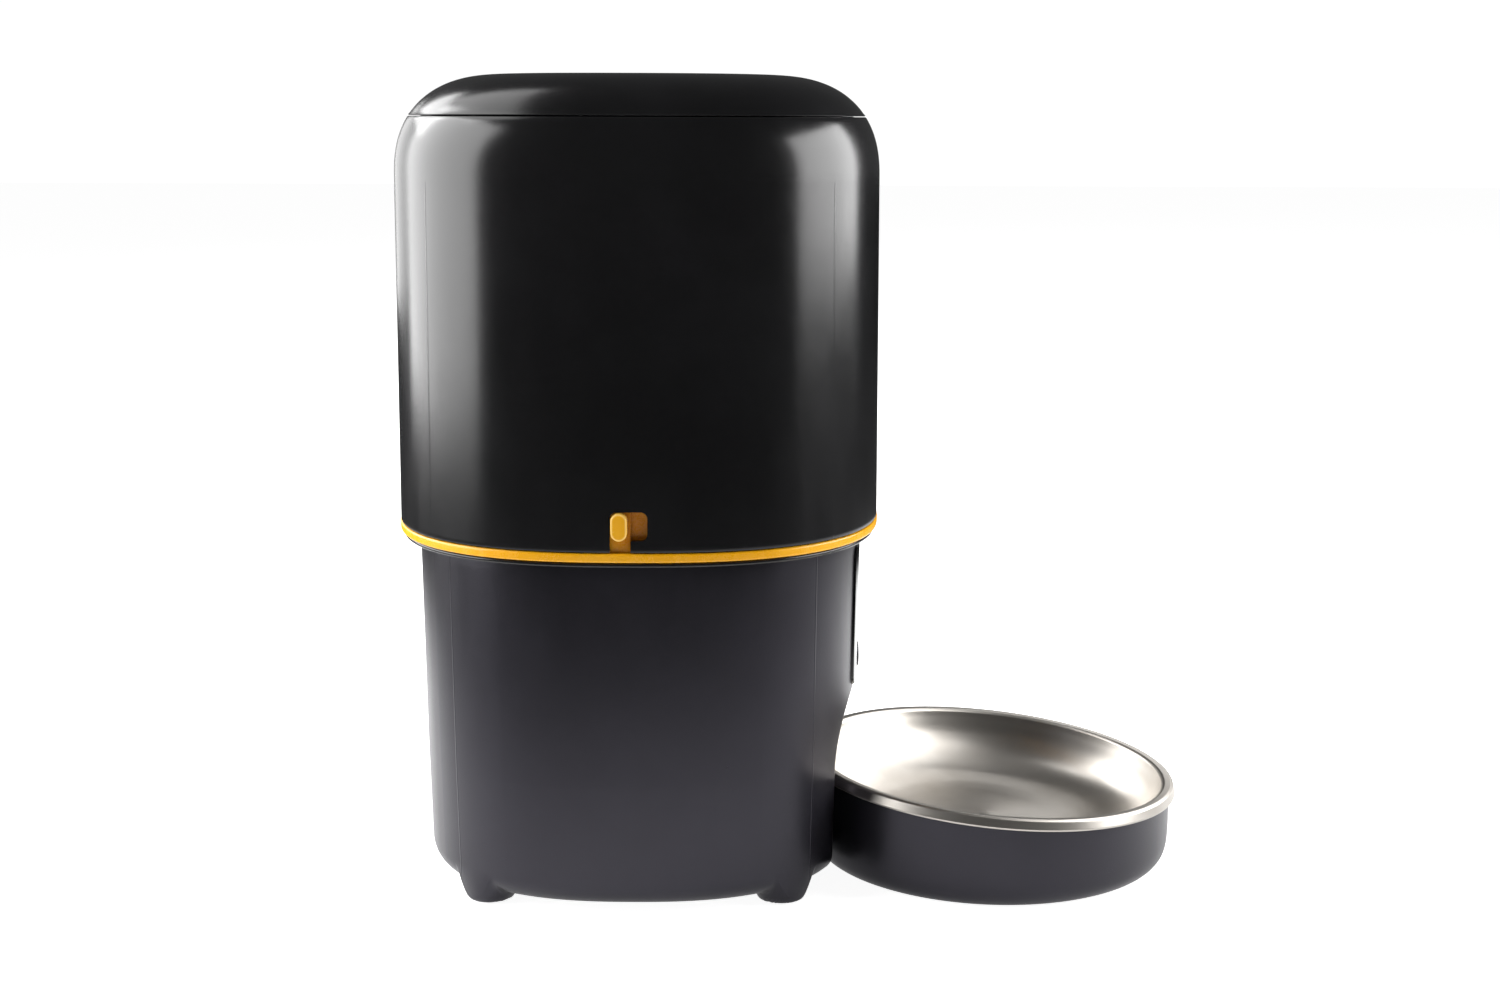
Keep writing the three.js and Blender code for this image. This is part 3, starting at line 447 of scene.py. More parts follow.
def evaluated(obj, name):
    # the object's mesh with its modifiers worked in, as a plain mesh; the object itself is dropped
    bpy.context.view_layer.update()
    graph = bpy.context.evaluated_depsgraph_get()
    mesh = bpy.data.meshes.new_from_object(obj.evaluated_get(graph), depsgraph=graph)
    mesh.name = name
    obj.modifiers.clear()
    bpy.data.objects.remove(obj)
    return mesh


def carved(mesh, cutters, operation="DIFFERENCE", smoothAngle=38, bevel=0.0):
    # cuts, joins or keeps the common part of closed meshes
    work = linked(mesh, mesh.name + "Work")
    tools = []
    for cutter in cutters:
        tool = linked(cutter, mesh.name + "Tool")
        modifier = work.modifiers.new("carve", "BOOLEAN")
        modifier.operation, modifier.object, modifier.solver = operation, tool, "MANIFOLD"
        tools.append(tool)
    if bevel:
        edge = work.modifiers.new("edge", "BEVEL")
        edge.width, edge.segments, edge.limit_method = bevel * mm, 2, "ANGLE"
        edge.angle_limit, edge.use_clamp_overlap = math.radians(40), True
    made = evaluated(work, mesh.name)
    for tool in tools:
        bpy.data.objects.remove(tool)
    return tidied(made, smoothAngle)


def joined(name, *meshes, smoothAngle=38):
    work = bmesh.new()
    for mesh in meshes:
        work.from_mesh(mesh)
    made = bpy.data.meshes.new(name)
    work.to_mesh(made)
    work.free()
    return sharpened(made, smoothAngle)


def sharpened(mesh, smoothAngle):
    for polygon in mesh.polygons:
        polygon.use_smooth = True
    mesh.set_sharp_from_angle(angle=math.radians(smoothAngle))
    return mesh


def addPiece(mesh, slotName, body, *nodes):
    name = mesh.name
    mesh.name = name + "Mesh"
    obj = linked(mesh, name)
    mesh.materials.clear()
    mesh.materials.append(finishes[slotName])
    for polygon in mesh.polygons:
        polygon.material_index = 0
    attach(obj, body)
    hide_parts(*nodes)
    return obj


# Geometry nodes

def newTree(name, sockets):
    tree = bpy.data.node_groups.new(name, "GeometryNodeTree")
    tree.interface.new_socket("Geometry", in_out="INPUT", socket_type="NodeSocketGeometry")
    for label, kind, value in sockets:
        socket = tree.interface.new_socket(label, in_out="INPUT", socket_type=kind)
        if value is not None:
            socket.default_value = value
    tree.interface.new_socket("Geometry", in_out="OUTPUT", socket_type="NodeSocketGeometry")
    maker = Maker(tree)
    maker.add("NodeGroupInput")
    inputs = {socket.name: Wire(maker, socket) for socket in maker.last.outputs if socket.name}
    return maker, inputs


def endTree(maker, geometry, material):
    real = maker.add("GeometryNodeRealizeInstances", {}, {0: geometry})
    painted = maker.add("GeometryNodeSetMaterial", {}, {"Geometry": real, "Material": material})
    maker.add("NodeGroupOutput", {}, {0: painted})


def setInput(modifier, name, value):
    # a modifier's inputs are set by identifier, not by name
    for item in modifier.node_group.interface.items_tree:
        if item.item_type == "SOCKET" and item.in_out == "INPUT" and item.name == name:
            modifier[item.identifier] = value


def makeSquaredTree():
    # spins a profile round the axis, with each circle squared off; the profile's points carry "square"
    maker, given = newTree("squaredSpin", [
        ("Sides", "NodeSocketInt", 192), ("Lean", "NodeSocketFloat", 0.0),
        ("Centre", "NodeSocketVector", None), ("Finish", "NodeSocketMaterial", None)])
    add = maker.add
    profile = given["Geometry"]
    count = add("GeometryNodeAttributeDomainSize", {"component": "MESH"}, {0: profile})
    columns = given["Sides"] + 1.0
    grid = add("GeometryNodeMeshGrid", {}, {"Vertices X": count, "Vertices Y": columns})
    index = add("GeometryNodeInputIndex")
    row = add("ShaderNodeMath", {"operation": "FLOOR"}, {0: (index + 0.5) / columns})
    turn = (index - row * columns) / given["Sides"] * math.tau
    sample = {"data_type": "FLOAT_VECTOR", "domain": "POINT"}
    place = add("GeometryNodeSampleIndex", sample, {0: profile, 1: add("GeometryNodeInputPosition"), 2: row})
    radius = add("ShaderNodeSeparateXYZ", {}, {0: place})
    height = maker.other(2)
    named = add("GeometryNodeInputNamedAttribute", {"data_type": "FLOAT"}, {"Name": "square"})
    sample = {"data_type": "FLOAT", "domain": "POINT"}
    power = add("GeometryNodeSampleIndex", sample, {0: profile, 1: named, 2: row})
    c, s = turn.maths("COSINE", turn), turn.maths("SINE", turn)
    wide = abs(c) ** power + abs(s) ** power
    reach = radius * wide ** (-1.0 / power)
    spot = add("ShaderNodeCombineXYZ", {}, {0: reach * c, 1: reach * s, 2: height})
    bent = add("GeometryNodeSetPosition", {}, {"Geometry": grid, "Position": spot})
    welded = add("GeometryNodeMergeByDistance", {}, {"Geometry": bent, "Distance": 1e-6})
    lean = add("ShaderNodeCombineXYZ", {}, {0: 0.0, 1: given["Lean"], 2: 0.0})
    values = {"Geometry": welded, "Translation": given["Centre"], "Rotation": lean}
    moved = add("GeometryNodeTransform", {}, values)
    endTree(maker, moved, given["Finish"])
    return maker.tree


def makeRingTree():
    # copies the given mesh round the feeder's axis
    maker, given = newTree("copiesRound", [
        ("Count", "NodeSocketInt", 6), ("Start", "NodeSocketFloat", 0.0),
        ("Centre", "NodeSocketVector", None), ("Finish", "NodeSocketMaterial", None)])
    add = maker.add
    points = add("GeometryNodePoints", {}, {"Count": given["Count"], "Position": given["Centre"]})
    index = add("GeometryNodeInputIndex")
    turn = index / given["Count"] * math.tau + given["Start"]
    spin = add("ShaderNodeCombineXYZ", {}, {0: 0.0, 1: 0.0, 2: turn})
    values = {"Points": points, "Instance": given["Geometry"], "Rotation": spin}
    endTree(maker, add("GeometryNodeInstanceOnPoints", {}, values), given["Finish"])
    return maker.tree


def makeScrewTree():
    # a countersunk cross-head screw on every point; Facing is 1 for heads that face up and -1 for down
    maker, given = newTree("screwsOnPoints", [
        ("Head Radius", "NodeSocketFloat", 0.0032), ("Shank Radius", "NodeSocketFloat", 0.0013),
        ("Length", "NodeSocketFloat", 0.016), ("Facing", "NodeSocketFloat", 1.0),
        ("Finish", "NodeSocketMaterial", None)])
    add = maker.add
    headTall, coneTall = 0.0007, 0.0012
    barLong, barWide, barTall = 0.0036, 0.0007, 0.0016
    thick, thin = given["Head Radius"], given["Shank Radius"]
    head = add("GeometryNodeMeshCylinder", {}, {"Vertices": 32, "Radius": thick, "Depth": headTall})
    head = add("GeometryNodeTransform", {}, {0: head, "Translation": (0, 0, -headTall / 2)})
    values = {"Vertices": 32, "Radius Top": thin, "Radius Bottom": thick, "Depth": coneTall}
    values = {0: add("GeometryNodeMeshCone", {}, values), "Rotation": (math.pi, 0, 0)}
    cone = add("GeometryNodeTransform", {}, {**values, "Translation": (0, 0, -headTall)})
    shank = add("GeometryNodeMeshCylinder", {}, {"Vertices": 32, "Radius": thin, "Depth": given["Length"]})
    drop = add("ShaderNodeCombineXYZ", {}, {0: 0.0, 1: 0.0, 2: given["Length"] * -0.5 - headTall})
    shank = add("GeometryNodeTransform", {}, {0: shank, "Translation": drop})
    body = add("GeometryNodeMeshBoolean", {"operation": "UNION", "solver": "EXACT"}, {1: head})
    maker.tree.links.new(cone.socket, maker.last.inputs[1])
    maker.tree.links.new(shank.socket, maker.last.inputs[1])
    sizes = ((barLong, barWide, barTall), (barWide, barLong, barTall))
    bars = [add("GeometryNodeMeshCube", {}, {0: size}) for size in sizes]
    settings = {"operation": "DIFFERENCE", "solver": "EXACT"}
    cut = add("GeometryNodeMeshBoolean", settings, {0: body, 1: bars[0]})
    maker.tree.links.new(bars[1].socket, maker.last.inputs[1])
    flip = (1.0 - given["Facing"]) * (math.pi / 2)
    spin = add("ShaderNodeCombineXYZ", {}, {0: flip, 1: 0.0, 2: add("GeometryNodeInputIndex") * 0.9})
    values = {"Points": given["Geometry"], "Instance": cut, "Rotation": spin}
    endTree(maker, add("GeometryNodeInstanceOnPoints", {}, values), given["Finish"])
    return maker.tree


squaredTree = makeSquaredTree()
ringTree = makeRingTree()
screwTree = makeScrewTree()


def grown(mesh, tree, settings, name):
    # runs one tree on a mesh and gives back the plain result
    work = linked(mesh, name + "Work")
    modifier = work.modifiers.new("tree", "NODES")
    modifier.node_group = tree
    for key, value in settings.items():
        setInput(modifier, key, value)
    return evaluated(work, name)


def squared(name, outline, slotName, power=planPower, sides=192, centre=(0, 0, 0), lean=0.0, closed=True,
            angle=38):
    # an outline of (radius, height) or (radius, height, squareness), spun about the tank's axis
    points = [point if len(point) > 2 else (point[0], point[1], power) for point in outline]
    if closed:
        points.append(points[0])
    mesh = bpy.data.meshes.new(name + "Profile")
    flat = [(max(point[0], 0) * mm, 0, point[1] * mm) for point in points]
    mesh.from_pydata(flat, [(i, i + 1) for i in range(len(flat) - 1)], [])
    mesh.attributes.new("square", "FLOAT", "POINT").data.foreach_set("value", [point[2] for point in points])
    middle = (axisX + centre[0] * mm, centre[1] * mm, centre[2] * mm)
    settings = {"Sides": sides, "Lean": lean, "Centre": middle, "Finish": finishes[slotName]}
    return tidied(grown(mesh, squaredTree, settings, name), angle)


def moulded(name, corners, slotName, steps=5, closed=True, **settings):
    # a spun solid from filleted corners; one that isn't closed starts and ends on the axis
    return squared(name, filleted(corners, steps, closed), slotName, closed=closed, **settings)


def ringOf(mesh, name, count, start, slotName, centre=(0, 0)):
    # the mesh is drawn about the axis; it is moved there by the tree
    for vertex in mesh.vertices:
        vertex.co.x -= axisX
    settings = {"Count": count, "Start": start, "Finish": finishes[slotName],
                "Centre": (axisX + centre[0] * mm, centre[1] * mm, 0)}
    return tidied(grown(mesh, ringTree, settings, name))


def screws(name, places, height, facing, length):
    mesh = bpy.data.meshes.new(name + "Points")
    mesh.from_pydata(toMetres([(x, y, height) for x, y in places]).tolist(), [], [])
    settings = {"Facing": facing, "Length": length * mm, "Finish": finishes["machine_steel"]}
    return sharpened(grown(mesh, screwTree, settings, name), 30)


# Shared shape of the shells

shoulderLook = {"start": 262.3, "wide": 40.0, "tall": 37.0, "power": 2.4, "neck": 89.3, "foot": 90.0}
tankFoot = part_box("tank_shell")[0].z / mm
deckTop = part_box("base_deck")[1].z / mm
trayLow = deckTop + 0.3


def shoulder(height, wall=0.0):
    look = shoulderLook
    rise = min(1.0, max(0.0, (height - look["start"]) / (look["tall"] - wall)))
    run = (1 - rise ** look["power"]) ** (1 / look["power"])
    return look["neck"] - look["wide"] + (look["wide"] - wall) * run


def tankSide(height, wall=0.0):
    if height > shoulderLook["start"]:
        return shoulder(height, wall)
    share = max(0.0, (height - tankFoot) / (shoulderLook["start"] - tankFoot))
    return shoulderLook["foot"] + (shoulderLook["neck"] - shoulderLook["foot"]) * share - wall


def heightsBetween(low, high, steps):
    return [low + (high - low) * i / steps for i in range(steps + 1)]


def roundTop(low, wall, steps):
    # points up the shoulder from a height to its crown, closer together as it flattens
    look = shoulderLook
    tall = look["tall"] - wall
    start = (low - look["start"]) / tall
    first = math.asin(min(1.0, max(start, 0.0) ** (look["power"] / 2)))
    points = []
    for i in range(steps + 1):
        angle = first + (math.pi / 2 - first) * i / steps
        rise = math.sin(angle) ** (2 / look["power"])
        run = math.cos(angle) ** (2 / look["power"]) if i < steps else 0.0
        reach = look["neck"] - look["wide"] + (look["wide"] - wall) * run
        points.append((reach, look["start"] + tall * rise))
    return points


# The lid

lidLook = {"foot": 284.65, "wall": 2.2, "plugFoot": 277.0, "plugOuter": 75.4, "plugInner": 72.6}


def lidShell():
    low, wall = lidLook["foot"], lidLook["wall"]
    outer = roundTop(low + 0.9, 0.0, 26)
    inner = roundTop(low + 0.9, wall, 14)
    crown = outer[-1][1]
    foot = [(shoulder(low + 0.02, wall), low), (shoulder(low) - 0.45, low), (shoulder(low) - 0.16, low + 0.1),
            (shoulder(low) - 0.03, low + 0.32)]
    top = [(44, crown), (30, crown), (12, crown), (0, crown)]
    under = [(0, crown - wall), (30, crown - wall), (44, crown - wall)]
    return squared("lidShell", foot + outer + top + under + inner[::-1], "tank_black", sides=256)


def lidPlug():
    look = lidLook
    plate = (284.9, 286.9)
    return moulded("lidPlug", [
        (0, plate[0]), (look["plugInner"], plate[0], 0.8), (look["plugInner"], look["plugFoot"], 1.2),
        (look["plugOuter"], look["plugFoot"], 1.2), (look["plugOuter"], plate[0], 0.5), (77.8, plate[0], 0.4),
        (77.8, plate[1], 0.4), (0, plate[1])], "natural", closed=False)


def lidSeal():
    return moulded("lidSeal", [
        (76.3, 282.5, 0.9), (79.8, 282.5, 0.9), (79.8, 284.6, 0.7), (76.3, 284.6, 0.7)], "soft")


def dryBox():
    corners = [(24.4, 268, 0.4), (26, 268, 0.4), (26, 284.6, 0.8), (0, 284.6), (0, 283), (24.4, 283, 0.6)]
    return moulded("desiccantBox", corners, "natural", power=2, sides=96)


def dryCap():
    high, thick = 267.7, 3.0
    corners = [(0, high - thick), (27, high - thick, 0.7), (27, high, 0.4), (0, high)]
    disc = moulded("desiccantCap", corners, "natural", power=2, sides=96, closed=False)
    slot = prismMesh("slot", boxOutline(9, 20, -1.2, 1.2, 1.19), high - thick - 1, high + 1)
    disc = carved(disc, [ringOf(slot, "slots", 8, 0.0, "natural")])
    grip = prismMesh("grip", boxOutline(-12, 12, -1.5, 1.5, 1.4), high - 7, high - 2.5)
    grip = carved(grip, [], bevel=0.5)
    return joined("desiccantCap", disc, grip)


addPiece(lidShell(), "tank_black", "lid", "lid_shell")
addPiece(lidPlug(), "natural", "lid", "lid_plug")
addPiece(lidSeal(), "soft", "lid", "lid_seal")
addPiece(dryBox(), "natural", "lid", "desiccant_box")
addPiece(dryCap(), "natural", "desiccant_cap", "desiccant_cap")
print("lid built")


# The tank

slotLook = {"left": -6.3, "middle": 0.75, "right": 6.6, "top": 151.3, "floor": 141.3, "corner": 2.2,
            "inner": 0.8}


def slotOutline():
    look = slotLook
    middle, floor, inner = look["middle"], look["floor"], look["inner"]
    outline = [(look["left"], 120), (middle, 120)]
    outline += arcPoints(middle + inner, floor - inner, inner, 180, 90, 6)
    corners = ((look["right"], floor, -90), (look["right"], look["top"], 0), (look["left"], look["top"], 90))
    for x, z, start in corners:
        cx = x + (look["corner"] if x < 0 else -look["corner"])
        cz = z - look["corner"] if z == look["top"] else z + look["corner"]
        outline += arcPoints(cx, cz, look["corner"], start, start + 90, 8)
    return outline


def slotTool():
    return prismMesh("slotTool", slotOutline(), -99, -80, "front")


def tankShell():
    foot, top, wall = tankFoot, 284.35, 2.4
    outer = [(tankSide(z), z) for z in heightsBetween(foot + 1.6, 262, 18)]
    curve = [point for point in roundTop(262.6, 0.0, 40) if point[1] < top - 0.5]
    rim = filleted([(tankSide(top), top, 0.35), (80.2, top, 0.3), (80.2, 282.2, 0.3), (76, 282.2, 0.5),
                    (76, 279.6, 0.5), (tankSide(279.6, wall), 279.6, 0.8)], 4, closed=False)
    edge = [(tankSide(top - 0.3), top - 0.3), (tankSide(top) - 0.1, top - 0.08), (tankSide(top) - 0.35, top)]
    rim = edge + rim[1:]
    inner = [(tankSide(z, wall), z) for z in (278, 275, 271, 267, 262, 240, 200, 164)]
    skirt = [(88.2, 162.2), (88.2, 150), (88.2, foot + 0.9)]
    side = tankSide(foot)
    edge = [(88.35, foot + 0.2), (88.7, foot), (side - 0.5, foot), (side - 0.14, foot + 0.13),
            (side, foot + 0.5)]
    body = squared("tankShell", outer + curve + rim + inner + skirt + edge, "tank_black", sides=256)
    return carved(body, [slotTool()])


def tankFunnel():
    throat, low = 46.5, 159.8
    rim = tankSide(194, 2.4) - 0.4
    points = filleted([
        (throat, low, 0.5), (throat + 2.2, low, 0.5), (throat + 2.2, low + 3.6, 2), (rim, 183, 6),
        (rim, 194, 0.8), (rim - 2.2, 194, 0.8), (rim - 2.2, 185.6, 6), (throat + 1, low + 6.4, 3)], 6)
    squareness = [(r, z, 2 + 0.5 * min(1, max(0, (r - 52) / 24))) for r, z in points]
    return squared("tankFunnel", squareness, "dark_inner", sides=160)


addPiece(tankShell(), "tank_black", "tank", "tank_shell")
addPiece(tankFunnel(), "dark_inner", "tank", "tank_funnel")
print("tank built")


# The dispenser

trayLook = {"edge": 90.2, "tall": 3.2, "round": 0.7, "wallOuter": 86.2, "wall": 1.8, "wallTop": 157.0,
            "floor": 136.2, "well": 51.5, "wellTop": 156.7}


def dispenserTray():
    look = trayLook
    low, top, floor = trayLow, trayLow + look["tall"], look["floor"]
    outer, inner = look["wallOuter"], look["wallOuter"] - look["wall"]
    dish = moulded("dispenserTray", [
        (0, low), (look["edge"], low, look["round"]), (look["edge"], top, look["round"]), (outer, top, 0.4),
        (outer, look["wallTop"], 0.6), (inner, look["wallTop"], 0.6), (inner, floor, 2.5),
        (0, floor)], "amber", sides=256, closed=False)
    well = moulded("well", [
        (look["well"], floor - 1), (look["well"] + 2, floor - 1), (look["well"] + 2, look["wellTop"], 0.6),
        (look["well"], look["wellTop"], 0.6)], "amber", power=2, sides=160)
    spout = prismMesh("spout", boxOutline(24.5, 47.4, -22.4, 22.4, 1.2), 130.8, low + 1)
    mouth = prismMesh("mouth", boxOutline(25.9, 46, -21, 21, 1.0), 120, floor + 1)
    bore = prismMesh("bore", circle(0, 0, 6), 125, floor + 1)
    groove = prismMesh("groove", boxOutline(-8, 8.35, -88.2, -86.22, 0.4), top - 2, top + 1)
    return carved(carved(dish, [well, spout], "UNION"), [mouth, bore, groove])


def rotorCover():
    low, high = 157.0, 159.0
    corners = [(46.5, low, 0.3), (53.5, low, 0.3), (53.5, high, 0.5), (46.5, high, 0.5)]
    rim = moulded("rotorCover", corners, "natural", power=2, sides=160)
    fan = arcPoints(0, 0, 49.5, -60, 60, 60) + arcPoints(0, 0, 16, 60, -60, 30)
    fan = carved(prismMesh("fan", fan, low, high), [], bevel=0.35)
    return joined("rotorCover", rim, fan)


rotorLook = {"vanes": 6, "reach": 49.5, "thick": 2.2, "low": 136.9, "high": 154.9, "hub": 13.0}


def rotor():
    look = rotorLook
    low, high = look["low"], look["high"]
    hub = moulded("rotor", [
        (0, low), (look["hub"], low, 0.8), (look["hub"], high, 1.0), (8, high + 1.8, 0.8), (8, 165.9, 0.8),
        (0, 165.9)], "natural", power=2, sides=96, closed=False)
    half = look["thick"] / 2
    vane = prismMesh("vane", boxOutline(look["hub"] - 3, look["reach"], -half, half, half * 0.9), low, high)
    vanes = ringOf(carved(vane, [], bevel=0.3), "vanes", look["vanes"], math.pi / 6, "natural")
    socket = prismMesh("socket", circle(0, 0, 4.45, 6), low - 1, 151.1)
    return joined("rotor", carved(hub, [socket]), vanes)


def agitator():
    cap = moulded("agitator", [
        (8.3, 157.3, 0.4), (11, 157.3, 0.5), (11, 168.3, 1.5), (7, 171.3, 1.5), (0, 171.3), (0, 167.9),
        (8.3, 167.9, 0.4)], "soft", power=2, sides=72)
    fin = prismMesh("fin", boxOutline(10, 36, -1.1, 1.1, 1.0), 160.4, 166)
    fins = ringOf(carved(fin, [], bevel=0.4), "fins", 3, math.pi / 3, "soft")
    return joined("agitator", cap, fins)


knobLook = {"left": -6.0, "wide": 5.7, "low": 141.4, "high": 151.1, "proud": 1.6, "round": 0.55}


def latchSlider():
    look = knobLook
    r = look["wide"] / 2
    cx = look["left"] + r

    def pill(inset, y):
        top = arcPoints(cx, look["high"] - r, r - inset, 0, 180, 20)
        foot = arcPoints(cx, look["low"] + r, r - inset, 180, 360, 20)
        return [(x, y, z) for x, z in top + foot]
    face = -(90 + look["proud"])
    rows = [pill(0.0, -87.3)]
    for step in range(7):
        angle = math.radians(90 * step / 6)
        rows.append(pill(look["round"] * (1 - math.cos(angle)), face + look["round"] * (1 - math.sin(angle))))
    for inset in (1.6, 2.2):
        rows.append(pill(inset, face - 0.05 * (inset - 1)))
    knob = loftMesh("knob", rows, 50)
    plate = prismMesh("plate", boxOutline(-7, 0.75, 135.2, 151.1, 0.8), -87.7, -86.5, "front")
    return joined("latchSlider", knob, carved(plate, [], bevel=0.2))


addPiece(dispenserTray(), "amber", "dispenser", "dispenser_tray")
addPiece(rotorCover(), "natural", "dispenser", "rotor_cover")
addPiece(rotor(), "natural", "rotor", "rotor")
addPiece(agitator(), "soft", "rotor", "agitator")
addPiece(latchSlider(), "amber", "latch", "latch_slider")
print("dispenser built")


# The base

baseLookSizes = {"topHalf": 83.0, "midHalf": 82.0, "mid": 50.0, "lowHalf": 81.1, "bottom": 5.0, "round": 8.0,
                 "wall": 2.4, "opening": 62.3, "top": 131.3, "edgeBlend": 3.2}
recessLook = {"radius": 76.5, "shoulder": 46.0, "top": 72.0, "crown": 24.0, "wall": 2.2}
footLook = {"x": 53.6, "y": 56.6, "low": 0.8, "flat": 8.2, "blend": 2.4, "steep": 0.9, "soft": 0.4}


def baseSide(height):
    look = baseLookSizes
    if height >= look["mid"]:
        share = (height - look["mid"]) / (look["top"] + 0.3 - look["mid"])
        return look["midHalf"] + (look["topHalf"] - look["midHalf"]) * share
    share = max(0.0, (height - 13) / (look["mid"] - 13))
    return look["lowHalf"] + (look["midHalf"] - look["lowHalf"]) * share


def smoothMin(a, b, blend):
    h = np.clip(blend - np.abs(a - b), 0, None) / blend
    return np.minimum(a, b) - h * h * blend / 4


def recessCurve(turn, grow):
    # radius and height of the hollow round the bowl, from its straight side over to its crown
    look = recessLook
    radii = look["radius"] - look["crown"] + look["crown"] * np.cos(turn) ** 0.9 + grow
    tops = look["shoulder"] + (look["top"] - look["shoulder"]) * np.sin(turn) ** 1.25
    return radii, tops + grow * np.sin(turn)


def recessReach(angles, height, grow):
    # distance from the tank's axis to the bowl's hollow at each angle round it
    radii, tops = recessCurve(np.radians(np.linspace(0, 90, 40)), grow)
    radius = np.interp(height, tops, radii)
    if height > tops[-1]:
        radius = radii[-1] - (height - tops[-1]) * 5
    inside = radius ** 2 - (bowlX * np.sin(angles)) ** 2
    reach = bowlX * np.cos(angles) - np.sqrt(np.clip(inside, 0, None))
    return np.where((inside > 0) & (np.cos(angles) > 0) & (radius > 0), reach, 1e3)


def footDrop(points):
    # pulls the underside down to round feet with soft fillets
    look = footLook
    x, y = np.abs(points[:, 0]), np.abs(points[:, 1])
    far = np.hypot(x - look["x"], y - look["y"])
    ramp = np.clip(far - look["flat"], 0, None)
    foot = look["low"] + look["steep"] * ramp ** 2 / (look["soft"] + 0.25 * ramp)
    points[:, 2] = np.where(points[:, 2] < 14, smoothMin(points[:, 2], foot, look["blend"]), points[:, 2])
    return points


def baseAngles():
    bands = ((0, 40, 0.42), (40, 58, 0.6), (58, 122, 3.2), (122, 146, 0.7), (146, 180, 3.0))
    half = np.concatenate([np.arange(a, b, step) for a, b, step in bands])
    return np.radians(np.concatenate([half, [180.0], 360 - half[1:][::-1]]))


def baseShell():
    look = baseLookSizes
    angles = baseAngles()
    spread = (np.abs(np.cos(angles)) ** planPower + np.abs(np.sin(angles)) ** planPower) ** (-1 / planPower)
    top, bottom, r, wall = look["top"], look["bottom"], look["round"], look["wall"]
    rows = []

    def addRow(half, height, grow=0.0, blend=look["edgeBlend"]):
        radius = smoothMin(half * spread, recessReach(angles, height, grow), blend)
        level = np.full_like(radius, height)
        rows.append(np.stack([radius * np.cos(angles), radius * np.sin(angles), level], 1))

    for half, z in ((-1.6, 0.0), (-0.6, 0.0), (-0.2, 0.08), (-0.04, 0.3), (0.0, 0.8)):
        addRow(baseSide(top - z) + half, top - z)
    for z in heightsBetween(126, 80, 8) + heightsBetween(77, 46, 56) + heightsBetween(44, 14, 16):
        addRow(baseSide(z), z)
    for angle in np.linspace(0, math.pi / 2, 15):
        height = bottom + r - r * math.sin(angle)
        addRow(look["lowHalf"] - r + r * math.cos(angle), height)
    for half in np.linspace(look["lowHalf"] - r - 0.6, look["opening"] + 0.3, 17):
        addRow(half, bottom)
    outside = len(rows) * len(angles)
    addRow(look["opening"], bottom + 0.3)
    for half, z in ((0.0, wall - 0.1), (0.6, wall), (6.0, wall)):
        addRow(look["opening"] + half, bottom + z, recessLook["wall"], blend=0.4)
    for z in [9, 13] + heightsBetween(18, 46, 6) + heightsBetween(49, 74, 16) + [80, 100, 125, top]:
        inset = wall if z >= 13 else wall + 2.0
        addRow(baseSide(z) - inset, z, recessLook["wall"], blend=0.8)
    points = np.concatenate(rows)
    points[:outside] = footDrop(points[:outside])
    return meshFrom("baseShell", points, gridFaces(len(rows), len(angles), aroundRows=True), 50)


frontLook = {"half": 28, "low": 73, "high": 126, "corner": 4, "button": 78.5, "buttonHole": 5.4,
             "lens": 94.5, "lensHole": 1.9}
socketLook = {"height": 44, "hole": 4.2}
dockPlaces = (-20, 20)


def frontBand(name, grow, inner, outer, slotName):
    # a piece of the base's front between two depths, under the panel's rounded outline
    look = frontLook
    heights = heightsBetween(66, 131, 3)
    band = [(baseSide(z) + inner, z) for z in heights[::-1]] + [(baseSide(z) + outer, z) for z in heights]
    band = squared(name, band, slotName, sides=512, angle=30)
    outline = boxOutline(-look["half"] - grow, look["half"] + grow, look["low"] - grow, look["high"] + grow,
                         look["corner"] + grow, 10)
    return carved(band, [prismMesh(name + "Outline", outline, 40, 120, "bowl")], "INTERSECT")


def roundTool(radius, x0, x1, height):
    return prismMesh("roundTool", circle(0, height, radius), x0, x1, "bowl")


def frontHoles():
    look = frontLook
    button = roundTool(look["buttonHole"], 60, 100, look["button"])
    return [button, roundTool(look["lensHole"], 60, 100, look["lens"])]


def baseCutters():
    tools = [taperedMesh("chuteTool", (63.85, 85.5, 23.4, 38.0), (23.6, 48.6, 23.4, 129.9))]
    tools.append(frontBand("panelSeat", 0.3, -0.6, 3.0, "base_black"))
    tools += frontHoles() + [roundTool(socketLook["hole"], -100, -60, socketLook["height"])]
    for side in dockPlaces:
        tools.append(prismMesh("dock", boxOutline(54.5, 70.3, side - 5.5, side + 5.5, 0.8), 7.7, 12.5))
    return tools


shellMesh = carved(baseShell(), baseCutters(), smoothAngle=42)
addPiece(shellMesh, "base_black", "base", "base_shell")
print("base shell built,", len(shellMesh.polygons), "faces")


deckScrewPlaces = cornerPlaces(47.5, 47.5)
bottomScrewPlaces = [(-53, 0), (42, 0), (0, 54), (0, -54)]


def seats(places, low, high):
    return [prismMesh("seat", circle(x, y, 3.6, 24), low, high) for x, y in places]


def baseDeck():
    top, thick, lip = deckTop, 3.0, 1.7
    plate = moulded("baseDeck", [
        (0, top - thick), (80, top - thick, 0.4), (80, top - lip, 0.3), (89, top - lip, 0.75),
        (89, top, 0.75), (0, top)], "tank_black", sides=256, closed=False)
    tools = [prismMesh("shaftWay", circle(0, 0, 7.3), 120, 140),
             prismMesh("spoutWay", boxOutline(23.9, 48, -23, 23, 1.4), 120, 140)]
    return carved(plate, tools + seats(deckScrewPlaces, top - 1.7, top + 1))


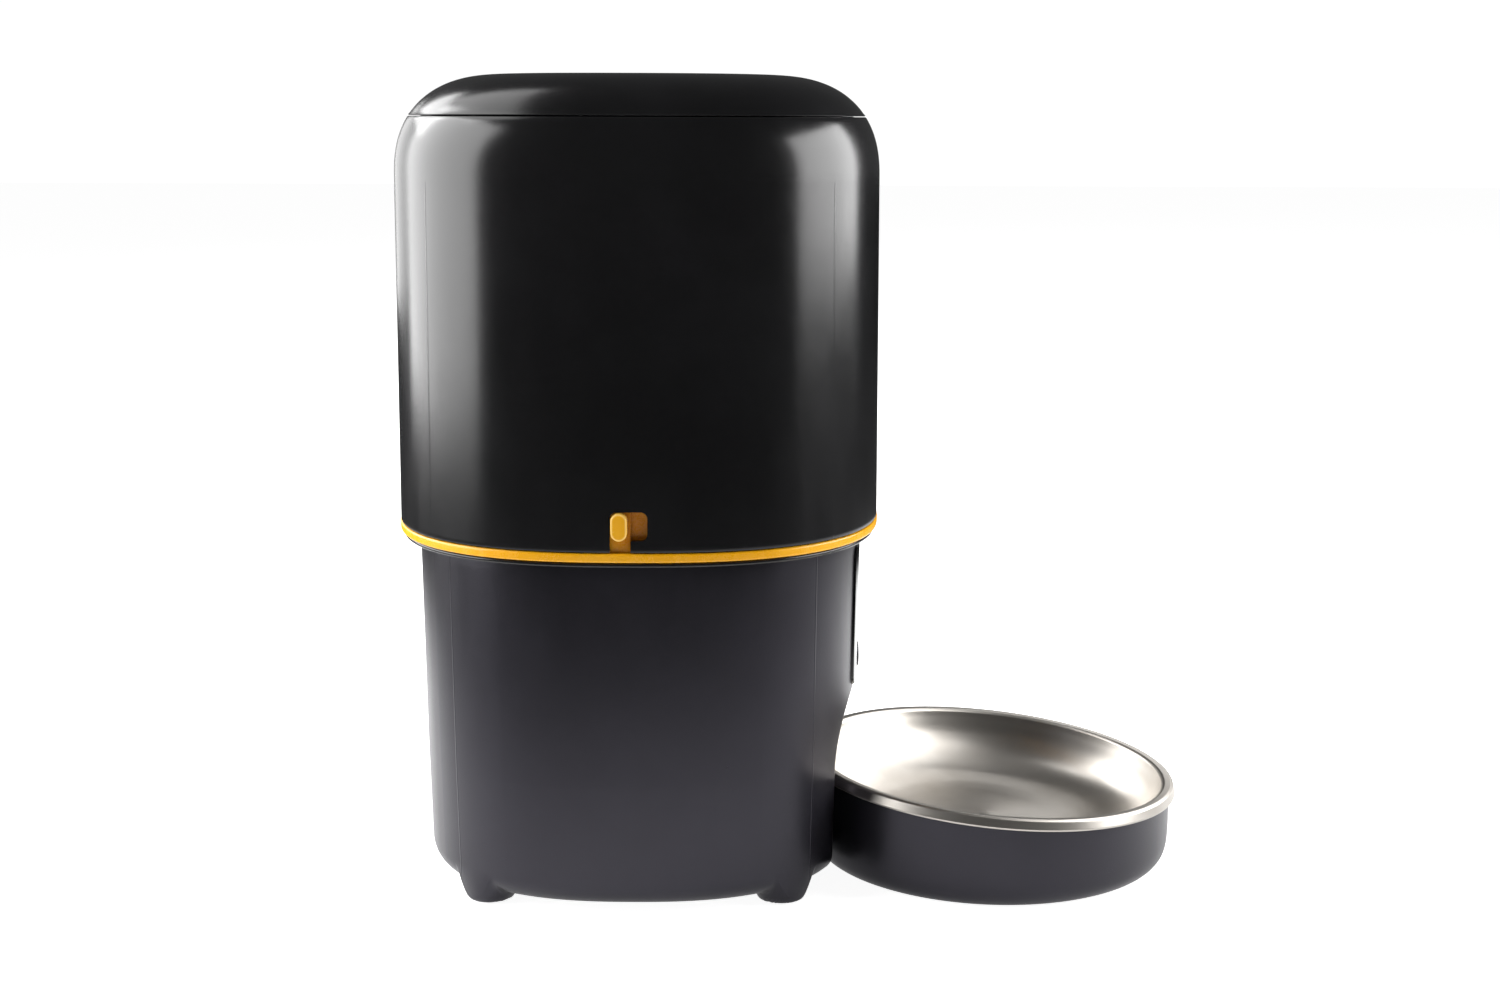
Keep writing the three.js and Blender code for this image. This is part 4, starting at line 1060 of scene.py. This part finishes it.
def bottomPlate():
    low, high = 5.0, 7.4
    corners = [(0, low), (62, low, 0.4), (62, high, 0.3), (0, high)]
    plate = moulded("bottomPlate", corners, "base_black", closed=False)
    recess = prismMesh("recessWay", circle(bowlX, 0, 79.0, 180), 0, 12)
    doorway = prismMesh("doorway", boxOutline(-44, 22, -44, 44, 1.0), 0, 12)
    return carved(plate, [recess, doorway] + seats(bottomScrewPlaces, 0, 6.6))


def batteryDoor():
    plate = prismMesh("batteryDoor", boxOutline(-43.5, 21.5, -43.5, 43.5, 1.2), 5.2, 7.2)
    thumb = prismMesh("thumb", boxOutline(13, 18, -9, 9, 2.4), 4.0, 6.0)
    bars = [prismMesh("bar", boxOutline(x, x + 1.0, -8, 8, 0.4), 5.4, 6.4) for x in (14.0, 16.0)]
    door = carved(carved(plate, [], bevel=0.4), [thumb])
    return joined("batteryDoor", door, *[carved(bar, [], bevel=0.2) for bar in bars])


def footPads():
    pads = []
    for x, y in cornerPlaces(footLook["x"], footLook["y"]):
        corners = [(0, 0), (6.3, 0, 0.5), (6.3, 1.6, 0.3), (0, 1.6)]
        pads.append(moulded("pad", corners, "soft", 4, closed=False, power=2, sides=48, centre=(x, y, 0)))
    return joined("footPads", *pads)


def frontPanel():
    panel = frontBand("frontPanel", 0.0, -0.3, 0.9, "panel_black")
    return carved(carved(panel, frontHoles()), [], bevel=0.3, smoothAngle=42)


def alongFront(mesh, height):
    # lays a turned piece, drawn standing on the axis, along +X at a height
    for vertex in mesh.vertices:
        x, y, z = vertex.co.x - axisX, vertex.co.y, vertex.co.z
        vertex.co = (z + axisX, y, -x + height * mm)
    return mesh


def feedButton():
    face = baseSide(frontLook["button"]) + 1.9
    corners = [(0, 78.6), (5, 78.6, 0.2), (5, face, 0.9), (3.2, face - 0.1, 1.0), (0, face - 0.35)]
    cap = moulded("feedButton", corners, "base_black", power=2, sides=64, closed=False)
    ears = prismMesh("ears", boxOutline(-7, 7, 76, 81, 0.5), 78.6, 79.4, "bowl")
    return joined("feedButton", alongFront(cap, frontLook["button"]), ears)


def statusLens():
    face = baseSide(frontLook["lens"]) + 1.2
    corners = [(0, face - 4), (1.6, face - 4, 0.1), (1.6, face - 0.3, 0.5), (0, face)]
    dome = moulded("statusLens", corners, "lens", closed=False, power=2, sides=40)
    return alongFront(dome, frontLook["lens"])


def powerSocket():
    height = socketLook["height"]
    mouth, inner = 0.4 - baseSide(height), 3.0 - baseSide(height)
    corners = [(2.75, mouth + 10.6), (3.9, mouth + 10.6), (3.9, mouth, 0.4), (2.75, mouth, 0.4)]
    nose = moulded("powerSocket", corners, "panel_black", power=2, sides=64)
    corners = [(0, mouth + 11), (0.9, mouth + 11), (0.9, mouth + 1.6, 0.4), (0, mouth + 1.6)]
    pin = moulded("pin", corners, "panel_black", closed=False, power=2, sides=32)
    block = prismMesh("block", boxOutline(-5, 5, 38.5, 49.5, 0.6), inner, inner + 11, "bowl")
    block = carved(block, [roundTool(2.75, inner - 2, mouth + 10.5, height)])
    return joined("powerSocket", alongFront(nose, height), alongFront(pin, height), block)


def chute():
    outer = taperedMesh("chute", (57, 83, 25.2, 50.0), (21.8, 50.4, 25.2, 129.9))
    inner = taperedMesh("chuteWay", (60.1, 82.6, 23.4, 46.0), (21.9, 47.1, 23.4, 134.0))
    radii, tops = recessCurve(np.radians(np.linspace(0, 89, 24)), 2.5)
    dome = [(0, 0), (79.0, 0)] + list(zip(radii.tolist(), tops.tolist())) + [(0, 76.5)]
    dome = squared("dome", dome, "base_black", power=2, sides=160, centre=(bowlX, 0, 0), closed=False)
    holes = [prismMesh("eye", circle(52, 92, 2.2, 24), y - 3, y + 3, "front") for y in (-24.4, 24.4)]
    return carved(outer, [inner, dome, *holes])


def numbered(stem):
    return [f"{stem}_{i}" for i in (1, 2, 3, 4)]


addPiece(baseDeck(), "tank_black", "base", "base_deck")
addPiece(bottomPlate(), "base_black", "base", "bottom_plate")
addPiece(batteryDoor(), "base_black", "battery_door", "battery_door")
addPiece(footPads(), "soft", "base", *numbered("foot_pad"))
addPiece(frontPanel(), "panel_black", "base", "front_panel")
addPiece(feedButton(), "base_black", "feed_button", "feed_button")
addPiece(statusLens(), "lens", "base", "status_lens")
addPiece(powerSocket(), "panel_black", "base", "power_socket")
addPiece(chute(), "dark_inner", "base", "chute")
deckScrews = screws("deckScrews", deckScrewPlaces, deckTop - 0.1, 1.0, 16.2)
addPiece(deckScrews, "machine_steel", "base", *numbered("deck_screw"))
bottomScrews = screws("bottomScrews", bottomScrewPlaces, 5.1, -1.0, 15.0)
addPiece(bottomScrews, "machine_steel", "base", *numbered("bottom_screw"))
print("base pieces built")


# The bowl and its holder

bowlLook = {  # radius and height about the bowl's own axis, with its rim at 0
    "under": [(0, -23.4), (20, -23.4), (38, -23.4), (40.5, -22.6), (50, -20.3), (58.7, -15.5), (64.1, -9.4),
              (67.0, -3.9)],
    "lip": [(68.3, -1.0), (68.3, 0.1, 0.2), (71.7, 0.1, 0.2), (71.7, -2.9), (72.1, -3.2, 0.15),
            (72.6, -3.0, 0.15), (72.8, -2.4, 0.4), (71.8, 0.5, 0.8), (70.9, 1.0, 0.5), (68.4, 0.8, 1.1),
            (67.3, 0.0)],
    "inside": [(67.4, 0.3), (66.2, -3), (63.6, -8.5), (58.5, -14.6), (50.5, -19.2), (42, -21.4), (34, -22.3),
               (26, -22.5)],
    "floor": [(20, -22.5), (0, -22.5)],
}


def bowl():
    look = bowlLook
    outline = smoothCurve(look["under"], 6) + filleted(look["lip"], 6, closed=False)
    outline += smoothCurve(look["inside"], 6)[1:] + look["floor"]
    return squared("bowl", outline, "bowl_steel", power=2, sides=192, centre=(bowlX, 0, bowlRimHeight),
                   lean=bowlTilt, closed=False, angle=50)


def smoothCurve(points, steps):
    # a curve through the points, with its slope carried across each
    points = [np.array(point, float) for point in points]
    padded = [2 * points[0] - points[1]] + points + [2 * points[-1] - points[-2]]
    made = []
    for i in range(1, len(padded) - 2):
        a, b, c, d = padded[i - 1:i + 3]
        for step in range(steps):
            t = step / steps
            made.append(tuple(0.5 * (2 * b + (c - a) * t + (2 * a - 5 * b + 4 * c - d) * t ** 2
                                     + (3 * b - a - 3 * c + d) * t ** 3)))
    return made + [tuple(points[-1])]


holderLook = {"radius": 70.2, "wall": 1.7}


def bowlHolder():
    r, wall = holderLook["radius"], holderLook["wall"]
    angles = np.radians(np.arange(0, 360, 2.0))
    cutHeight = bowlRimHeight - 0.3 / math.cos(bowlTilt)
    outer = smoothCurve([(r - 12, 0.0), (r - 8, 0.0), (r - 4, 1.1), (r - 1.4, 4), (r - 0.3, 8), (r, 14)], 5)
    bore = r - wall
    inner = smoothCurve([(bore, 12), (bore - 1.2, 6.6), (bore - 5, 3.2), (bore - 10, 2.45)], 5)

    def row(radius, height):
        level = height if callable(height) else lambda a: height
        return [(bowlX + radius * math.cos(a), radius * math.sin(a), level(a)) for a in angles]

    def rimAt(drop):
        return lambda a: cutHeight - r * math.cos(a) * math.tan(bowlTilt) - drop
    rim = ((r, 9), (r, 1.2), (r, 0.4), (r - 0.12, 0.12), (r - 0.45, 0.0), (r - wall + 0.4, 0.0),
           (r - wall, 0.5), (r - wall, 1.5))
    made = [row(x, z) for x, z in [(0.01, 0.0), (30, 0.0)] + outer]
    made += [row(x, rimAt(drop)) for x, drop in rim]
    made += [row(x, z) for x, z in inner] + [row(40, 2.4), row(0.01, 2.4)]
    cup = loftMesh("bowlHolder", made, 40)
    tabs = [prismMesh("tab", boxOutline(55, 70, y - 5, y + 5, 0.8), 8.2, 12) for y in dockPlaces]
    return joined("bowlHolder", cup, *[carved(tab, [], bevel=0.4) for tab in tabs])


bowlPiece = addPiece(bowl(), "bowl_steel", "bowl", "bowl")
addPiece(bowlHolder(), "base_black", "bowl_holder", "bowl_holder")
print("bowl built")


# The CAD pieces that stay

slotOf = {part["node"]: part["material_slot"] for part in frame["record"]["subparts"]}
for name, node in frame["nodes"].items():
    if node.hide_render:
        continue
    finish = finishes[slotOf[name]]
    if not node.data.materials:
        node.data.materials.append(finish)
    for slotHere in node.material_slots:
        slotHere.link = "OBJECT"
        slotHere.material = finish
print("finishes on the inner pieces done")


# The studio

studioLook = {"floor": 0.86, "sheetX": 0.02, "sheetY": 0.12, "sheetNear": 0.24, "sheetFar": 0.6, "room": 0.02,
              "sheetGlow": 0.45, "floorSeen": 0.93, "skySeen": 0.97, "fill": 0.06}


def stageFloor():
    mesh = bpy.data.meshes.new("floor")
    wide, near, far, low = 6, -4, 8, -0.0004
    corners = [(-wide, near, low), (wide, near, low), (wide, far, low), (-wide, far, low)]
    mesh.from_pydata(corners, [], [(0, 1, 2, 3)])
    floor = linked(mesh, "floor")
    finish = Finish("paleFloor")
    finish.add("ShaderNodeLightPath")
    isGlossy, isCamera = finish.other("Is Glossy Ray"), finish.other("Is Camera Ray")
    look = studioLook
    away = finish.add("ShaderNodeVectorMath", {"operation": "DISTANCE"}, {
        0: finish.place, 1: ((look["sheetX"] - axisX) / mm, look["sheetY"] / mm, 0)}, output=1)
    edge = finish.add("ShaderNodeMapRange", {"interpolation_type": "SMOOTHSTEP"}, {
        "Value": away, "From Min": look["sheetNear"] / mm, "From Max": look["sheetFar"] / mm})
    tone = finish.mix((look["floor"],) * 3 + (1,), (look["room"],) * 3 + (1,), isGlossy * edge)
    shader = finish.add("ShaderNodeBsdfDiffuse", {}, {"Color": tone})
    strength = isCamera * look["floorSeen"] + isGlossy * (1.0 - edge) * look["sheetGlow"]
    glow = finish.add("ShaderNodeEmission", {}, {"Color": (1, 1, 1, 1), "Strength": strength})
    both = finish.add("ShaderNodeAddShader", {}, {0: shader, 1: glow})
    finish.add("ShaderNodeOutputMaterial", {}, {"Surface": both})
    mesh.materials.append(finish.material)


def stageWorld():
    world = bpy.data.worlds.new("studio")
    bpy.context.scene.world = world
    world.use_nodes = True
    maker = Maker(world.node_tree)
    world.node_tree.nodes.clear()
    maker.add("ShaderNodeLightPath")
    seen = maker.other("Is Camera Ray")
    strength = seen * studioLook["skySeen"] + studioLook["fill"]
    back = maker.add("ShaderNodeBackground", {}, {"Color": (1, 1, 1, 1), "Strength": strength})
    maker.add("ShaderNodeOutputWorld", {}, {"Surface": back})


def softLight(name, place, aim, size, radiance):
    light = bpy.data.lights.new(name, "AREA")
    light.shape, light.size, light.size_y = "RECTANGLE", size[0], size[1]
    light.energy = radiance * math.pi * size[0] * size[1]
    obj = bpy.data.objects.new(name, light)
    bpy.context.scene.collection.objects.link(obj)
    obj.location = place
    obj.rotation_euler = (Vector(aim) - Vector(place)).to_track_quat("-Z", "Y").to_euler()
    obj.visible_camera = False


lightLook = {  # place, what it faces, width and height in metres, brightness
    "left": ((-1.3, 0.105, 0.72), (-0.06, 0.105, 0.6), (1.71, 1.5), 6.3),
    "leftRear": ((-1.53, 1.97, 0.45), (-0.15, 0.0, 0.45), (1.3, 0.9), 1.9),
    "leftRearHigh": ((-1.85, 1.7, 1.5), (-0.15, 0.0, 0.6), (1.3, 1.0), 5.5),
    "leftHigh": ((-0.8, 0.27, 1.35), (-0.1, 0.0, 0.29), (1.0, 0.6), 2.6),
    "right": ((1.3, 0.14, 0.62), (0.0, 0.14, 0.55), (1.43, 0.95), 7.5),
    "over": ((0.3, 1.0, 1.7), (0.0, 0.0, 0.1), (0.8, 0.6), 6.0),
    "bowlBehind": ((0.85, 0.99, 0.85), (0.08, 0.0, 0.03), (1.2, 0.8), 2.6),
    "bowlRight": ((0.8, 0.0, 1.0), (0.08, 0.0, 0.03), (1.3, 0.75), 2.6),
}
for name, (place, aim, size, radiance) in lightLook.items():
    softLight(name, place, aim, size, radiance)
bpy.data.objects["over"].visible_glossy = False

# two panels light the steel alone
steelOnly = bpy.data.collections.new("steelOnly")
steelOnly.objects.link(bowlPiece)
for name in ("bowlBehind", "bowlRight"):
    bpy.data.objects[name].light_linking.receiver_collection = steelOnly


cameraLook = {"lens": 49.87, "sensor": 36, "place": (-0.0175, -0.787, 0.2848), "pitch": 79.6, "roll": 0.2}


def stageCamera():
    look = cameraLook
    data = bpy.data.cameras.new("camera")
    data.sensor_width, data.lens = look["sensor"], look["lens"]
    data.clip_start, data.clip_end = 0.01, 50
    camera = bpy.data.objects.new("camera", data)
    bpy.context.scene.collection.objects.link(camera)
    camera.location = look["place"]
    pitch = Euler((math.radians(look["pitch"]), 0, 0)).to_matrix()
    roll = Euler((0, 0, math.radians(look["roll"]))).to_matrix()
    camera.rotation_euler = (pitch @ roll).to_euler()
    bpy.context.scene.camera = camera


stageFloor()
stageWorld()
stageCamera()
scene = bpy.context.scene
scene.view_settings.view_transform = "Standard"
print("studio ready")
